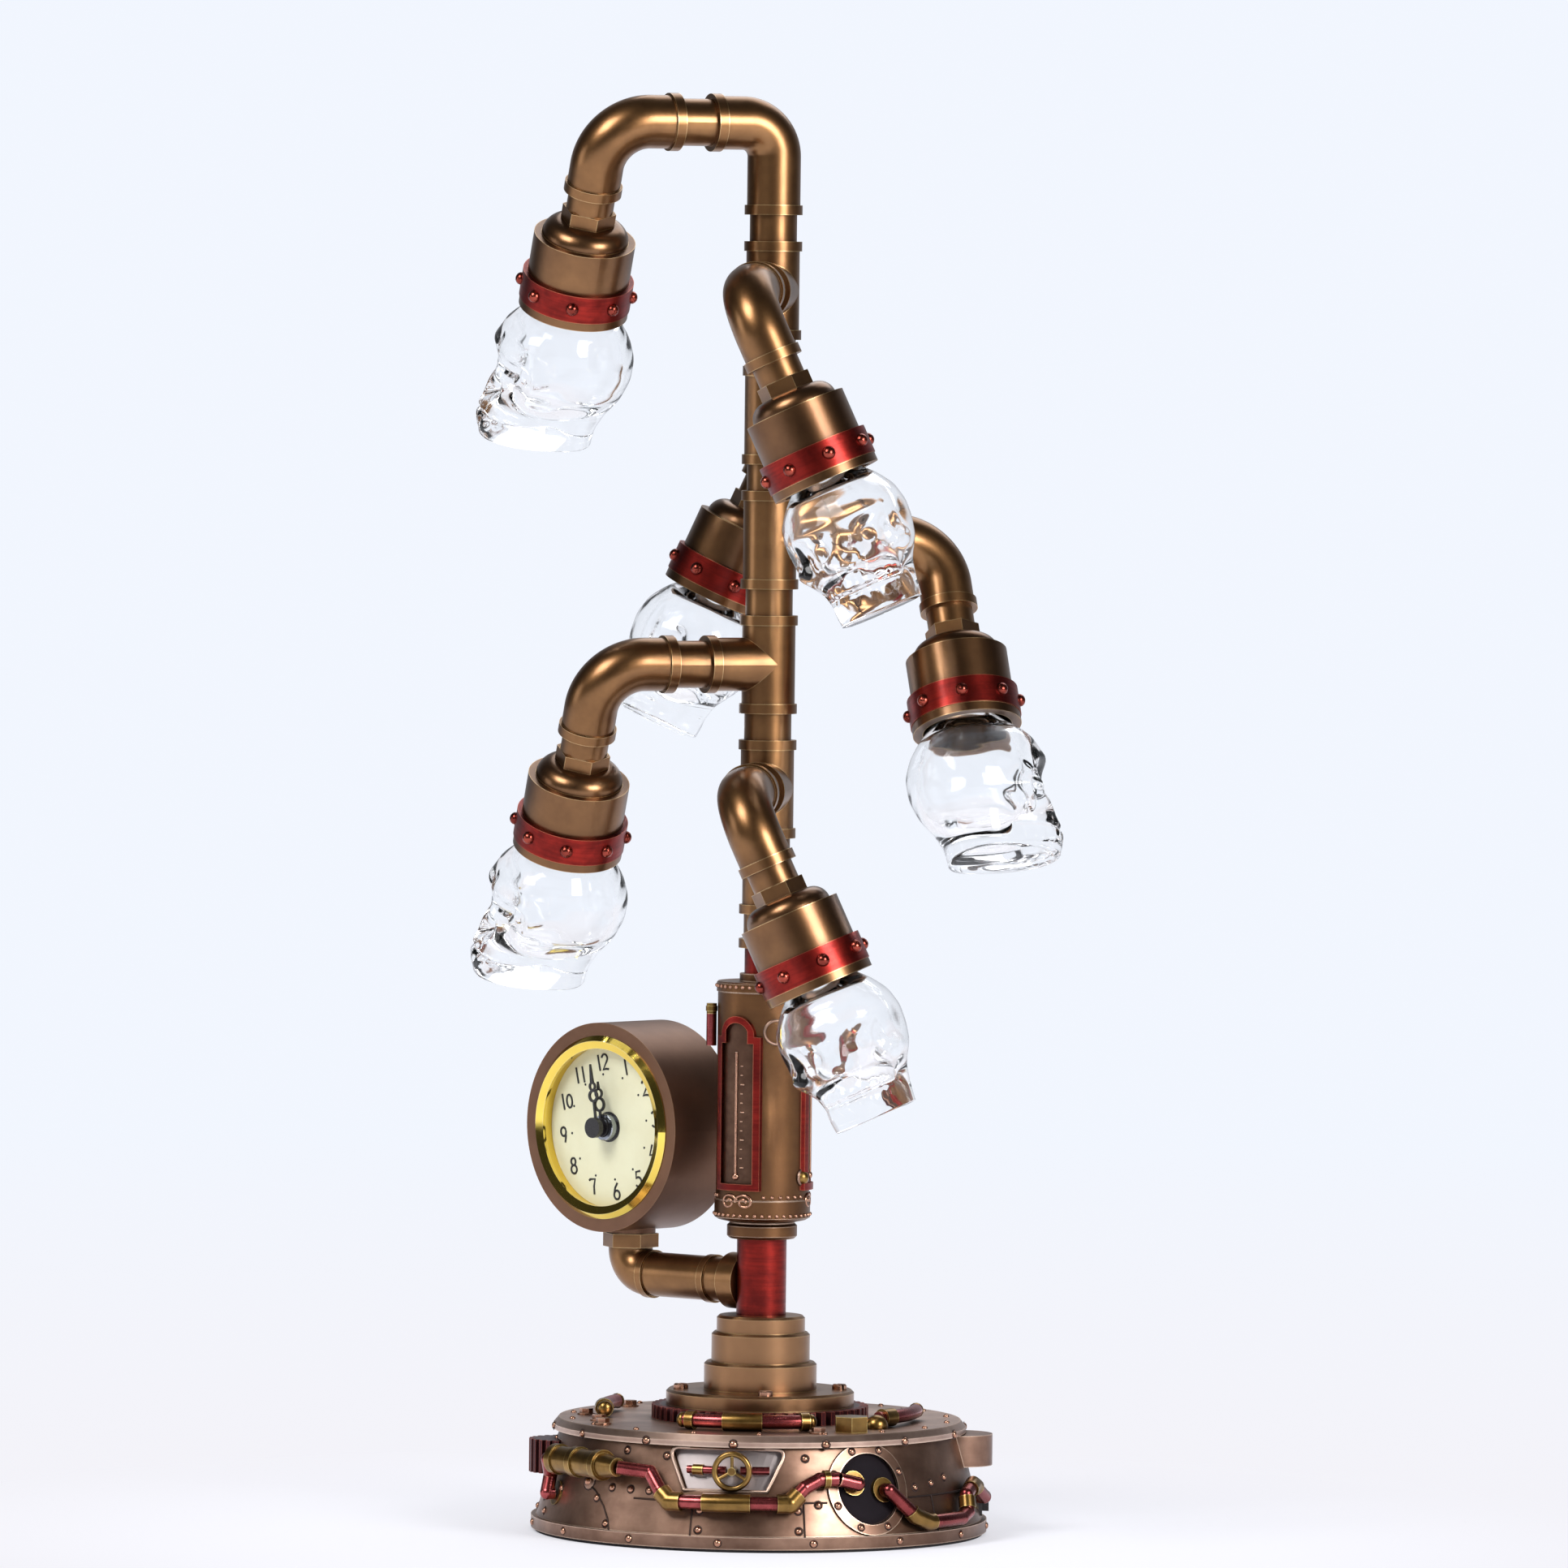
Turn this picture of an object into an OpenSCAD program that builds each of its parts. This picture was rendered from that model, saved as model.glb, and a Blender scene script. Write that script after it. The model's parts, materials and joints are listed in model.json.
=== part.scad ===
// Desk lamp of bronze pipe fittings on a round base, with six swivelling arms and a clock.
// Millimetres, +Z up, origin on the table under the column. The lamp's front faces -Y.
// A heading turns that front about +Z: 0 is the front, 90 is the lamp's right (+X).

/* [Base] */
// Radius of the band round the foot
foot_r = 89; // [86:0.5:100]
// Height of the foot band
foot_h = 4.8; // [3.6:0.1:6]
// Radius of the base wall where it leaves the foot band
wall_low_r = 87; // [85:0.5:88]
// Radius of the base wall under the deck
wall_top_r = 78; // [75:0.5:79]
// Thickness of the base wall
wall_t = 6; // [5:0.1:8]
// Height of the wall's top edge, where the deck rests
deck_z = 39.7; // [37:0.1:46]
// Thickness of the deck plate
deck_t = 4.6; // [3:0.1:7]
// Radius of the deck plate
deck_r = 80.5; // [79.5:0.5:86]
// Thickness of the felt under the base
felt_t = 1.2; // [0.6:0.1:2]
// Thickness of the floor plate
floor_t = 2.4; // [1.5:0.1:3.4]
// Depth of the niche and of the porthole in the wall
recess_depth = 2.6; // [1.5:0.1:4]
// Half width of the niche at the deck
niche_top = 23.5; // [18:0.5:26]
// Half width of the niche at its foot
niche_low = 16.2; // [12:0.2:18]
// Height of the niche's foot
niche_z = 23; // [21:0.5:25]

/* [Base ornament] */
// Radius of the copper pipes on the base
tubing_r = 2.7; // [2:0.1:3]
// Wall of the brass sleeves on those pipes
sleeve_t = 0.9; // [0.6:0.1:1.4]
// Outer radius of the porthole ring
port_r = 17.5; // [15:0.1:18.5]
// Radius of the porthole's opening
port_open_r = 13.5; // [11:0.1:14.5]
// Rise of the porthole ring from the wall
port_rise = 1.2; // [0.8:0.1:2]
// Height of the porthole's middle
port_z = 23.6; // [22.5:0.1:25]
// Radius of the handwheel's rim
wheel_r = 6.7; // [5:0.1:7.5]
// Radius of the handwheel's rim bar
wheel_bar = 1.15; // [0.8:0.05:1.4]
// Outer radius of the valve cylinder at the left
valve_r = 6; // [4.5:0.1:7]
// Length of the valve cylinder
valve_len = 31; // [24:0.5:34]
// Outer radius of the gear at the left of the base
side_gear_r = 14; // [11:0.2:15]
// Height of that gear
side_gear_h = 13; // [8:0.2:14]

/* [Pedestal] */
// Outer radius of the gear on the deck
deck_gear_r = 42.3; // [39:0.1:46]
// Height of the gear on the deck
deck_gear_h = 5.2; // [4:0.1:9]
// Teeth of the gear on the deck
deck_gear_teeth = 56; // [40:2:64]
// Radius of the pedestal's flange
flange_r = 36.7; // [31:0.1:38]
// Height of the flange
flange_h = 6; // [4:0.1:9]
// Radius of the pedestal's lowest step
step_r = 22; // [21:0.1:27]
// Heights of the three steps
step_h = [10.9, 11.6, 6.5]; // [4:0.1:18]
// How much each step draws in
step_in = 2.8; // [1:0.1:3]

/* [Boiler] */
// Radius of the lower red tube
red_tube_r = 9.7; // [8.8:0.1:11.5]
// Length of the lower red tube
red_tube_len = 30.1; // [29:0.1:45]
// Radius of the boiler
boiler_r = 18.2; // [15:0.1:19.5]
// Height of the boiler between its ends
boiler_h = 93; // [86:0.5:110]
// Thickness of the boiler's wall
boiler_t = 2.4; // [1.5:0.1:4]
// Radius of the upper red tube
neck_tube_r = 8; // [7.2:0.1:8.6]
// Visible length of the upper red tube
neck_tube_len = 10; // [6:0.5:30]
// Rise of the gauge frames from the boiler
frame_rise = 1.6; // [1:0.1:2.5]
// Half angle that a gauge frame covers
frame_half = 33; // [24:1:40]

/* [Pipe fittings] */
// Outer radius of the pipe nipples
pipe_r = 9.2; // [8.6:0.1:10]
// Wall of the pipe nipples
pipe_wall = 1.8; // [1.2:0.1:2.6]
// Wall of a fitting outside the pipe
fitting_wall = 1.2; // [1:0.1:2]
// Rise of a fitting's collar
collar_rise = 0.9; // [0.5:0.1:2]
// Width of a fitting's collar
collar_w = 3.8; // [2.5:0.1:5]
// Depth that a nipple screws into a fitting
thread_depth = 8; // [5:0.5:8.5]
// Clearance between a nipple and its fitting
pipe_clear = 0.05; // [0.02:0.01:0.1]
// Half height of a tee
tee_half = 19.1; // [18:0.1:24]
// Length of a branch from the column's axis
branch_len = 26.6; // [22:0.1:30]
// Length of nipple that shows between two fittings
tee_gap = 10.3; // [6:0.1:16]
// Height of the lowest tee
lowest_tee_z = 290; // [284:0.5:320]
// Drop of the top elbow below its centre
top_elbow_drop = 35.5; // [26:0.1:40]
// Bend radius of the top elbow
top_bend = 13; // [12:0.1:14]

/* [Arms] */
// Distance from the column's axis to an arm's leg
arm_reach = 70.5; // [66:0.1:74]
// Length of nipple that shows between a tee and an elbow
stub_gap = 13.7; // [8:0.1:16]
// Bend radius of an arm's elbow
arm_bend = 19; // [14:0.1:20]
// Angle that each leg leans from the vertical
arm_lean = 24.5; // [15:0.5:32]
// Length of stem that shows between the elbow and the hex
stem_gap = 7.2; // [4:0.1:14]
// Height of the hex
hex_h = 5.4; // [3:0.1:9]
// Radius across the hex's corners
hex_r = 10.7; // [10.3:0.1:13]
// Height of a cup's shoulder
shoulder_h = 6.6; // [4:0.1:9]
// Outer radius of a cup
cup_r = 19.9; // [18:0.1:21]
// Wall of a cup
cup_t = 2.4; // [1.4:0.1:3]
// Length of a cup from its shoulder to the band
cup_len = 16.3; // [14:0.1:24]
// Height of a cup's band
band_h = 11; // [8:0.1:13]
// Thickness of a cup's band
band_t = 1.9; // [1:0.1:3]
// Height of a cup's lip
lip_h = 3.4; // [2:0.1:5]
// Rise of a cup's lip
lip_rise = 1.5; // [0.8:0.1:3]

/* [Skull lamps] */
// Width of a glass skull
skull_w = 50; // [42:0.5:52]
// Depth of a glass skull from brow to back
skull_d = 58; // [48:0.5:60]
// Height of a glass skull below the cup's lip
skull_h = 54.6; // [46:0.2:62]
// Radius of the glass neck inside the cup
neck_r = 11; // [9:0.1:12.5]
// Wall of the glass
glass_t = 3; // [2:0.1:4]
// Radius of the lamp's LED
led_r = 6.5; // [4:0.1:6.8]

/* [Clock] */
// Radius of the clock case
case_r = 41.1; // [39:0.1:42]
// Depth of the clock case
case_d = 35; // [33:0.5:37]
// Height of the clock's middle
clock_z = 155; // [150:0.5:160]
// Radius of the bezel
bezel_r = 36; // [35.5:0.1:37.5]
// Radius of the dial's opening
dial_r = 31; // [28:0.1:31.5]
// Radius of the can behind the bezel
can_r = 33; // [32.8:0.1:34]
// Depth of the dial behind the case's front
dial_depth = 4.7; // [4:0.1:6]
// Length of the minute hand
minute_len = 25; // [20:0.5:28]
// Length of the hour hand
hour_len = 18; // [13:0.5:20]
// Distance from the column's axis to the clock's stem
clock_reach = 66.5; // [65:0.5:70]
// Radius of the clock's pipe
clock_pipe_r = 8.7; // [7.5:0.1:9]
// Height of the clock's pipe
clock_pipe_z = 97.2; // [96:0.1:98]

/* [Switch and power] */
// Width of the switch's rocker
rocker_w = 10.4; // [8:0.2:12]
// Height of the switch's rocker
rocker_h = 4.8; // [3.6:0.1:5.6]
// Radius of the hole in the cord gland
gland_bore_r = 3; // [2:0.1:3.4]

/* [Hidden] */
$fn = 64;
// Gap between pieces that seat on each other, and between pieces that move past each other
seat = 0.05;
run = 0.3;
// More than any cut needs to pass right through
past = 60;

// Headings of the arms from the top down, and the side that each leg leans to
arm_names = ["top_arm", "front_upper_arm", "back_arm", "right_arm", "left_arm", "front_lower_arm"];
arm_headings = [-60, 0, 180, 120, -60, 0];
arm_sides = [1, -1, -1, 1, 1, -1];
arm_pieces = ["elbow", "socket", "cup", "band", "skull"];
clock_heading = -120;
clock_faces = -35;
dial_roll = -10;
minute_angle = 1 + dial_roll;
hour_angle = 3 + dial_roll;

// Base heights
shell_z = felt_t;
wall_z = shell_z + foot_h;
deck_top = deck_z + deck_t;
wall_slope = (wall_low_r - wall_top_r) / (deck_z - wall_z);
function wall_r(z) = wall_low_r - wall_slope * (z - wall_z);

// Column heights
flange_z = deck_top + deck_gear_h;
step_z = flange_z + flange_h;
red_tube_z = step_z + step_h[0] + step_h[1] + step_h[2];
boiler_foot_h = 7.4;
boiler_z = red_tube_z + red_tube_len + boiler_foot_h;
boiler_top = boiler_z + boiler_h;
boiler_cap_h = 3;
neck_tube_z = boiler_top + boiler_cap_h;
coupling_z = neck_tube_z + neck_tube_len;
coupling_collar = 3.6;
coupling_top = lowest_tee_z - tee_half - 26;
coupling_socket = 2.6;

// Fittings
fitting_r = pipe_r + fitting_wall;
collar_r = fitting_r + collar_rise;
bore_r = pipe_r - pipe_wall;
tee_pitch = 2 * tee_half + tee_gap;
tee_count = 5;
top_tee_z = lowest_tee_z + (tee_count - 1) * tee_pitch;
top_elbow_z = top_tee_z + tee_half + tee_gap + top_elbow_drop;
function arm_z(i) = i == 0 ? top_elbow_z : top_tee_z - (i - 1) * tee_pitch;

// An arm's own frame has the elbow's centre at its origin and its leg along -Z
elbow_start = branch_len + stub_gap;
elbow_arm = arm_reach - elbow_start;
hex_u = elbow_arm + stem_gap;
cup_u = hex_u + hex_h;
body_u = cup_u + shoulder_h;
band_u = body_u + cup_len;
lip_u = band_u + band_h;
mouth_u = lip_u + lip_h;
skull_u = mouth_u + skull_h;
spigot_r = 5;
ceiling_t = 1.4;
holder_u = body_u + ceiling_t;
holder_h = 7;
neck_u = holder_u + holder_h;
holder_r = neck_r + 2;
led_len = 8;

// Clock
case_half = case_d / 2;
clock_bend = 9.6;
clock_hex_h = 5.4;
clock_hex_z = clock_pipe_z + clock_bend + 0.6;
clock_hex_top = clock_hex_z + clock_hex_h;
clock_pin_r = 5;
clock_pin_h = 5.5;
bezel_lip = 1.5;
bezel_seat = 2;
bezel_proud = 2.4;
bezel_bevel = 2;
bezel_dip = 1.2;
can_t = 1;
can_back = 7;
dial_t = 1;
hand_t = 0.8;
dial_y = -case_half + dial_depth;
bush_r = 4.9;
hour_post_r = 2.3;
minute_post_r = 1.5;
bush_h = 3.6;
hour_y = dial_y - bush_h - 1.2;
minute_y = hour_y - 2.6;
cap_y = minute_y - 2.2;
hand_cap_r = 4;

// Switch, gland and driver
switch_heading = 100;
switch_z = 11.4;
switch_frame_w = rocker_w + 4.4;
switch_frame_h = rocker_h + 3.4;
switch_face = wall_r(switch_z - switch_frame_h / 2) + 0.4;
switch_deep = 9;
rocker_pin_r = 1;
gland_z = 15;
gland_body_r = gland_bore_r + 2;
gland_flange_r = gland_body_r + 2;
gland_flange_h = 2;
gland_seat = wall_r(gland_z) - 2;

// Shared shapes

// A round bar between two points
module rod(a, b, r) {
    v = b - a;
    len = norm(v);
    translate(a) rotate([0, acos(v[2] / len), atan2(v[1], v[0])]) cylinder(h = len, r = r);
}

// A bar through a list of points, with a slightly thicker ball at each bend
pipe_ball = 1.03;
module run_of_pipe(points, r) {
    for (i = [0 : len(points) - 2]) rod(points[i], points[i + 1], r);
    if (len(points) > 2) for (i = [1 : len(points) - 2]) translate(points[i]) sphere(r = r * pipe_ball);
}

// A sleeve round a stretch of pipe
module sleeve(a, b, r_in, r_out) {
    d = (b - a) / norm(b - a);
    difference() {
        rod(a, b, r_out);
        rod(a - d, b + d, r_in);
    }
}

// An elbow piece round a bend of pipe, reaching a little way along both sides
module bend_sleeve(a, b, c, r_in, r_out) {
    reach = 5;
    da = (a - b) / norm(a - b);
    dc = (c - b) / norm(c - b);
    difference() {
        run_of_pipe([b + da * reach, b, b + dc * reach], r_out);
        run_of_pipe([b + da * (reach + 1), b, b + dc * (reach + 1)], r_in);
    }
}

// A quarter of a ring, from a pipe along +Y at the origin's height to a pipe along -Z
module quarter_bend(bend, r) {
    translate([0, bend, -bend]) rotate([0, -90, 180]) rotate_extrude(angle = 90)
        translate([bend, 0]) circle(r = r);
}

// A pipe elbow with a collared socket at each end: along +Y and along -Z
module pipe_elbow(bend, along_y, along_z) {
    module outside() {
        quarter_bend(bend, fitting_r);
        translate([0, bend, 0]) rotate([-90, 0, 0]) cylinder(h = along_y - bend, r = fitting_r);
        translate([0, 0, -along_z]) cylinder(h = along_z - bend, r = fitting_r);
        translate([0, along_y - collar_w, 0]) rotate([-90, 0, 0]) cylinder(h = collar_w, r = collar_r);
        translate([0, 0, -along_z]) cylinder(h = collar_w, r = collar_r);
    }
    module inside() {
        socket_r = pipe_r + pipe_clear;
        quarter_bend(bend, bore_r);
        translate([0, bend, 0]) rotate([-90, 0, 0]) cylinder(h = along_y, r = bore_r);
        translate([0, 0, -along_z - 1]) cylinder(h = along_z - bend + 1, r = bore_r);
        translate([0, along_y - thread_depth, 0]) rotate([-90, 0, 0]) cylinder(h = past, r = socket_r);
        translate([0, 0, -along_z - 1]) cylinder(h = thread_depth + 1, r = socket_r);
    }
    difference() {
        outside();
        inside();
    }
}

// A straight length of pipe along +Z
module nipple(len) {
    difference() {
        cylinder(h = len, r = pipe_r);
        translate([0, 0, -1]) cylinder(h = len + 2, r = bore_r);
    }
}

// A pipe tee on the column, with its branch along -Y
module tee() {
    module ends(r, h) {
        translate([0, 0, tee_half - h]) cylinder(h = h, r = r);
        translate([0, 0, -tee_half]) cylinder(h = h, r = r);
        translate([0, -branch_len + h, 0]) rotate([90, 0, 0]) cylinder(h = h, r = r);
    }
    module stem(r, extra) {
        translate([0, 0, -tee_half - extra]) cylinder(h = 2 * (tee_half + extra), r = r);
        rotate([90, 0, 0]) cylinder(h = branch_len + extra, r = r);
    }
    difference() {
        union() {
            stem(fitting_r, 0);
            ends(collar_r, collar_w);
        }
        stem(bore_r, 1);
        ends(pipe_r + pipe_clear, thread_depth);
    }
}

// A toothed wheel's outline, with teeth narrower at the tip
module gear_outline(r, depth, teeth) {
    pitch = 360 / teeth;
    polygon([
        for (i = [0 : teeth - 1], corner = [[-0.34, 0], [-0.2, 1], [0.2, 1], [0.34, 0]])
            (r - depth + corner[1] * depth) * [cos((i + corner[0]) * pitch), sin((i + corner[0]) * pitch)]
    ]);
}

wall_seam = 50;

// The base's tapered wall as a solid, moved out or in
module wall_solid(out) {
    rotate([0, 0, wall_seam]) rotate_extrude()
        polygon([[0, wall_z], [wall_low_r + out, wall_z], [wall_top_r + out, deck_z], [0, deck_z]]);
}

// Puts a shape on the base's wall, with -Y pointing out of it
module on_wall(heading, z, out = 0) {
    rotate([0, 0, heading]) translate([0, -wall_r(z) - out, z]) children();
}

// A point just outside the base's wall
function wall_point(heading, z, out) =
    (wall_r(z) + out) * [sin(heading), -cos(heading), 0] + [0, 0, z];

// Base

module niche_cut() {
    difference() {
        rotate([90, 0, 0]) linear_extrude(height = past * 2)
            polygon([[-niche_low, niche_z], [niche_low, niche_z], [niche_top, deck_z + 1], [-niche_top, deck_z + 1]]);
        wall_solid(-recess_depth);
    }
}

port_heading = 40;
port_plate_in = 1;
module port_axis(r) {
    rotate([0, 0, port_heading]) translate([0, -wall_r(port_z) + wall_t * 2, port_z])
        rotate([90, 0, 0]) cylinder(h = past, r = r);
}

side_gear_heading = -78;
side_gear_at = wall_r(deck_z) - 2;
side_gear_z = deck_z - 4 - side_gear_h;
side_pin_r = 1.5;
side_pin_h = 2;
module at_side_gear() {
    rotate([0, 0, side_gear_heading]) translate([0, -side_gear_at, side_gear_z]) children();
}

housing_heading = 97;
housing_r = 13.6;
housing_h = 12.6;
housing_inset = 0.6;
housing_drop = 0.4;

module base_shell() {
    color("#7d6443") difference() {
        union() {
            rotate([0, 0, wall_seam]) rotate_extrude() polygon([
                [0, shell_z], [foot_r, shell_z], [foot_r, wall_z], [wall_low_r, wall_z], [wall_top_r, deck_z],
                [0, deck_z]
            ]);
            rotate([0, 0, housing_heading]) translate([0, -wall_top_r + housing_inset, deck_z - housing_h])
                cylinder(h = housing_h - housing_drop, r = housing_r);
        }
        rotate([0, 0, wall_seam]) rotate_extrude() polygon([
            [0, shell_z - 1], [wall_low_r - wall_t, shell_z - 1], [wall_low_r - wall_t, wall_z],
            [wall_top_r - wall_t, deck_z], [wall_top_r - wall_t, deck_z + 1], [0, deck_z + 1]
        ]);
        niche_cut();
        difference() {
            port_axis(port_open_r + seat);
            wall_solid(-recess_depth);
        }
        at_side_gear() {
            translate([0, 0, -run]) cylinder(h = side_gear_h + 2 * run, r = side_gear_r + run);
            cylinder(h = side_gear_h + side_pin_h + run, r = side_pin_r + seat);
        }
        rotate([0, 0, switch_heading]) translate([0, -switch_face - 1, switch_z])
            translate([-switch_frame_w / 2 - seat, 0, -switch_frame_h / 2 - seat])
                cube([switch_frame_w + 2 * seat, past / 2, switch_frame_h + 2 * seat]);
        rotate([0, 0, 180]) translate([0, -gland_seat, gland_z]) rotate([90, 0, 0]) {
            cylinder(h = past, r = gland_flange_r + seat);
            translate([0, 0, -past / 2]) cylinder(h = past, r = gland_body_r + seat);
        }
    }
}

module base_floor() {
    color("#4a4038") translate([0, 0, shell_z]) cylinder(h = floor_t, r = wall_low_r - wall_t - seat);
}

module base_felt() {
    color("#1d1a1b") cylinder(h = felt_t, r = foot_r - 1.5);
}

wire_r = 8;
pedestal_spigot_r = 18;
module deck_plate() {
    edge = deck_t * 0.45;
    color("#866a46") rotate_extrude()
        polygon([[wire_r, deck_z], [deck_r, deck_z], [deck_r, deck_z + edge], [deck_r - edge, deck_top],
            [wire_r, deck_top]]);
}

module deck_gear() {
    color("#3a1518") translate([0, 0, deck_top]) linear_extrude(height = deck_gear_h) difference() {
        gear_outline(deck_gear_r, 3.2, deck_gear_teeth);
        circle(r = pedestal_spigot_r + seat);
    }
}

module pedestal() {
    z1 = step_z + step_h[0];
    z2 = z1 + step_h[1];
    ease = 1;
    color("#7d6443") rotate_extrude() polygon([
        [wire_r, deck_top], [pedestal_spigot_r, deck_top], [pedestal_spigot_r, flange_z],
        [flange_r, flange_z], [flange_r, step_z - ease], [flange_r - ease, step_z],
        [step_r, step_z], [step_r, z1 - ease], [step_r - ease, z1],
        [step_r - step_in, z1], [step_r - step_in, z2 - ease], [step_r - step_in - ease, z2],
        [step_r - 1.7 * step_in, z2], [step_r - 1.7 * step_in, red_tube_z - ease],
        [step_r - 1.7 * step_in - ease, red_tube_z], [wire_r, red_tube_z]
    ]);
}

tube_bore_r = 6;
module column_tubes() {
    color("#7a2a22") {
        translate([0, 0, red_tube_z]) difference() {
            cylinder(h = red_tube_len, r = red_tube_r);
            translate([0, 0, -1]) cylinder(h = red_tube_len + 2, r = tube_bore_r);
        }
        translate([0, 0, neck_tube_z]) difference() {
            cylinder(h = neck_tube_len + coupling_socket, r = neck_tube_r);
            translate([0, 0, -1]) cylinder(h = neck_tube_len + coupling_socket + 2, r = tube_bore_r);
        }
    }
}

// Boiler

rim_h = 4;
rim_rise = 0.5;
foot_collar_r = 13.7;
boiler_cap_r = 9.8;

module boiler() {
    foot = boiler_z - boiler_foot_h;
    color("#7d6443") rotate_extrude() difference() {
        polygon([
            [tube_bore_r, foot], [foot_collar_r - 1, foot], [foot_collar_r, foot + 1], [foot_collar_r, foot + 5],
            [foot_collar_r - 1, foot + 6], [foot_collar_r - 1, boiler_z - 1], [boiler_r - 1, boiler_z],
            [boiler_r + rim_rise, boiler_z + 1], [boiler_r + rim_rise, boiler_z + 2 * rim_h],
            [boiler_r, boiler_z + 2 * rim_h], [boiler_r, boiler_top - rim_h],
            [boiler_r + rim_rise, boiler_top - rim_h],
            [boiler_r + rim_rise, boiler_top - 0.6], [boiler_r, boiler_top], [boiler_cap_r, boiler_top],
            [boiler_cap_r, neck_tube_z], [tube_bore_r, neck_tube_z]
        ]);
        translate([0, boiler_z + boiler_t]) square([boiler_r - boiler_t, boiler_h - 2 * boiler_t]);
    }
}

frame_headings = [-25, 95];
frame_low = boiler_z + 12;
frame_top = boiler_top - 13;
frame_bar = 2.6;
arch_shoulder_w = 2.3;
arch_shoulder_h = 8;

// The arched outline of a gauge frame, flat, with its foot at zero
module arch_outline(half_w, high) {
    arch_w = half_w - arch_shoulder_w;
    arch_r = (arch_w * arch_w + arch_shoulder_h * arch_shoulder_h) / (2 * arch_shoulder_h);
    translate([-half_w, 0]) square([2 * half_w, high - arch_shoulder_h]);
    translate([0, high - arch_r]) intersection() {
        circle(r = arch_r);
        translate([-arch_w, -arch_r]) square([2 * arch_w, 2 * arch_r]);
    }
}

module gauge_frames() {
    half_w = boiler_r * sin(frame_half);
    high = frame_top - frame_low;
    color("#7a2a22") for (h = frame_headings) intersection() {
        rotate([0, 0, h]) translate([0, 0, frame_low]) rotate([90, 0, 0]) linear_extrude(height = past) difference() {
            arch_outline(half_w, high);
            translate([0, frame_bar]) arch_outline(half_w - frame_bar, high - 2 * frame_bar);
        }
        translate([0, 0, frame_low - 1]) difference() {
            cylinder(h = high + 2, r = boiler_r + frame_rise);
            translate([0, 0, -1]) cylinder(h = high + 4, r = boiler_r + seat);
        }
    }
}

// Column of fittings

coupling_r = fitting_r;
module coupling() {
    waist_r = 8.5;
    difference() {
        union() {
            translate([0, 0, coupling_z]) cylinder(h = coupling_collar, r = coupling_r);
            translate([0, 0, coupling_z]) cylinder(h = coupling_top - coupling_z, r = waist_r);
            translate([0, 0, coupling_top - coupling_collar]) cylinder(h = coupling_collar, r = coupling_r);
        }
        translate([0, 0, coupling_z - 1]) cylinder(h = coupling_top - coupling_z + 2, r = tube_bore_r);
        translate([0, 0, coupling_z - 1]) cylinder(h = coupling_socket + 1, r = neck_tube_r + seat);
        translate([0, 0, coupling_top - coupling_socket]) cylinder(h = past, r = pipe_r + pipe_clear);
    }
}

module riser_fittings() {
    color("#86683f") {
        coupling();
        for (i = [1 : tee_count]) translate([0, 0, arm_z(i)]) rotate([0, 0, arm_headings[i]]) tee();
    }
}

module pipe_nipples() {
    joint_len = tee_gap + 2 * thread_depth;
    stub_len = stub_gap + 2 * thread_depth - run;
    color("#8b6b45") {
        translate([0, 0, coupling_top - coupling_socket])
            nipple(lowest_tee_z - tee_half + thread_depth - coupling_top + coupling_socket);
        for (i = [1 : tee_count]) translate([0, 0, arm_z(i) + tee_half - thread_depth]) nipple(joint_len);
        for (i = [0 : tee_count]) translate([0, 0, arm_z(i)]) rotate([0, 0, arm_headings[i]])
            translate([0, -branch_len + thread_depth, 0]) rotate([90, 0, 0]) nipple(stub_len);
    }
}

module top_elbow() {
    color("#86683f") translate([0, 0, top_elbow_z]) rotate([0, 0, arm_headings[0] + 180])
        pipe_elbow(top_bend, branch_len, top_elbow_drop);
}

// Arms

// Puts a shape from an arm's own frame in its place at rest
module on_arm(i) {
    translate([0, 0, arm_z(i)]) rotate([0, 0, arm_headings[i]]) translate([0, -arm_reach, 0])
        rotate([0, arm_sides[i] * arm_lean, 0]) children();
}

module arm_elbow(i) {
    color("#86683f") on_arm(i) pipe_elbow(arm_bend, elbow_arm, elbow_arm);
}

// The stem with its hex, and below the cup's ceiling the lamp holder with its LED
module arm_socket(i) {
    color("#8b6b45") on_arm(i) {
        difference() {
            union() {
                translate([0, 0, -hex_u]) cylinder(h = hex_u - elbow_arm + thread_depth, r = pipe_r);
                translate([0, 0, -cup_u]) cylinder(h = hex_h, r = hex_r, $fn = 6);
                translate([0, 0, -holder_u + seat]) cylinder(h = holder_u - cup_u - seat, r = spigot_r);
            }
            translate([0, 0, -hex_u]) cylinder(h = past, r = bore_r);
            translate([0, 0, -holder_u - 1]) cylinder(h = past, r = spigot_r - 1.6);
        }
        translate([0, 0, -neck_u]) cylinder(h = holder_h, r = holder_r);
        translate([0, 0, -neck_u - led_len]) cylinder(h = led_len, r = led_r);
    }
}

module arm_cup(i) {
    inner_r = cup_r - cup_t;
    shoulder_r = cup_r - 2.9;
    color("#86683f") on_arm(i) rotate_extrude() difference() {
        union() {
            translate([0, -mouth_u]) square([cup_r, mouth_u - body_u]);
            translate([0, -mouth_u]) square([cup_r + lip_rise, lip_h]);
            translate([0, -body_u]) square([shoulder_r - shoulder_h, shoulder_h]);
            intersection() {
                translate([shoulder_r - shoulder_h, -body_u]) circle(r = shoulder_h);
                translate([shoulder_r - shoulder_h, -body_u]) square([shoulder_h, shoulder_h]);
            }
        }
        translate([0, -mouth_u - 1]) square([inner_r, mouth_u - holder_u + 1]);
        translate([0, -mouth_u]) square([spigot_r + seat, mouth_u]);
    }
}

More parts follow.
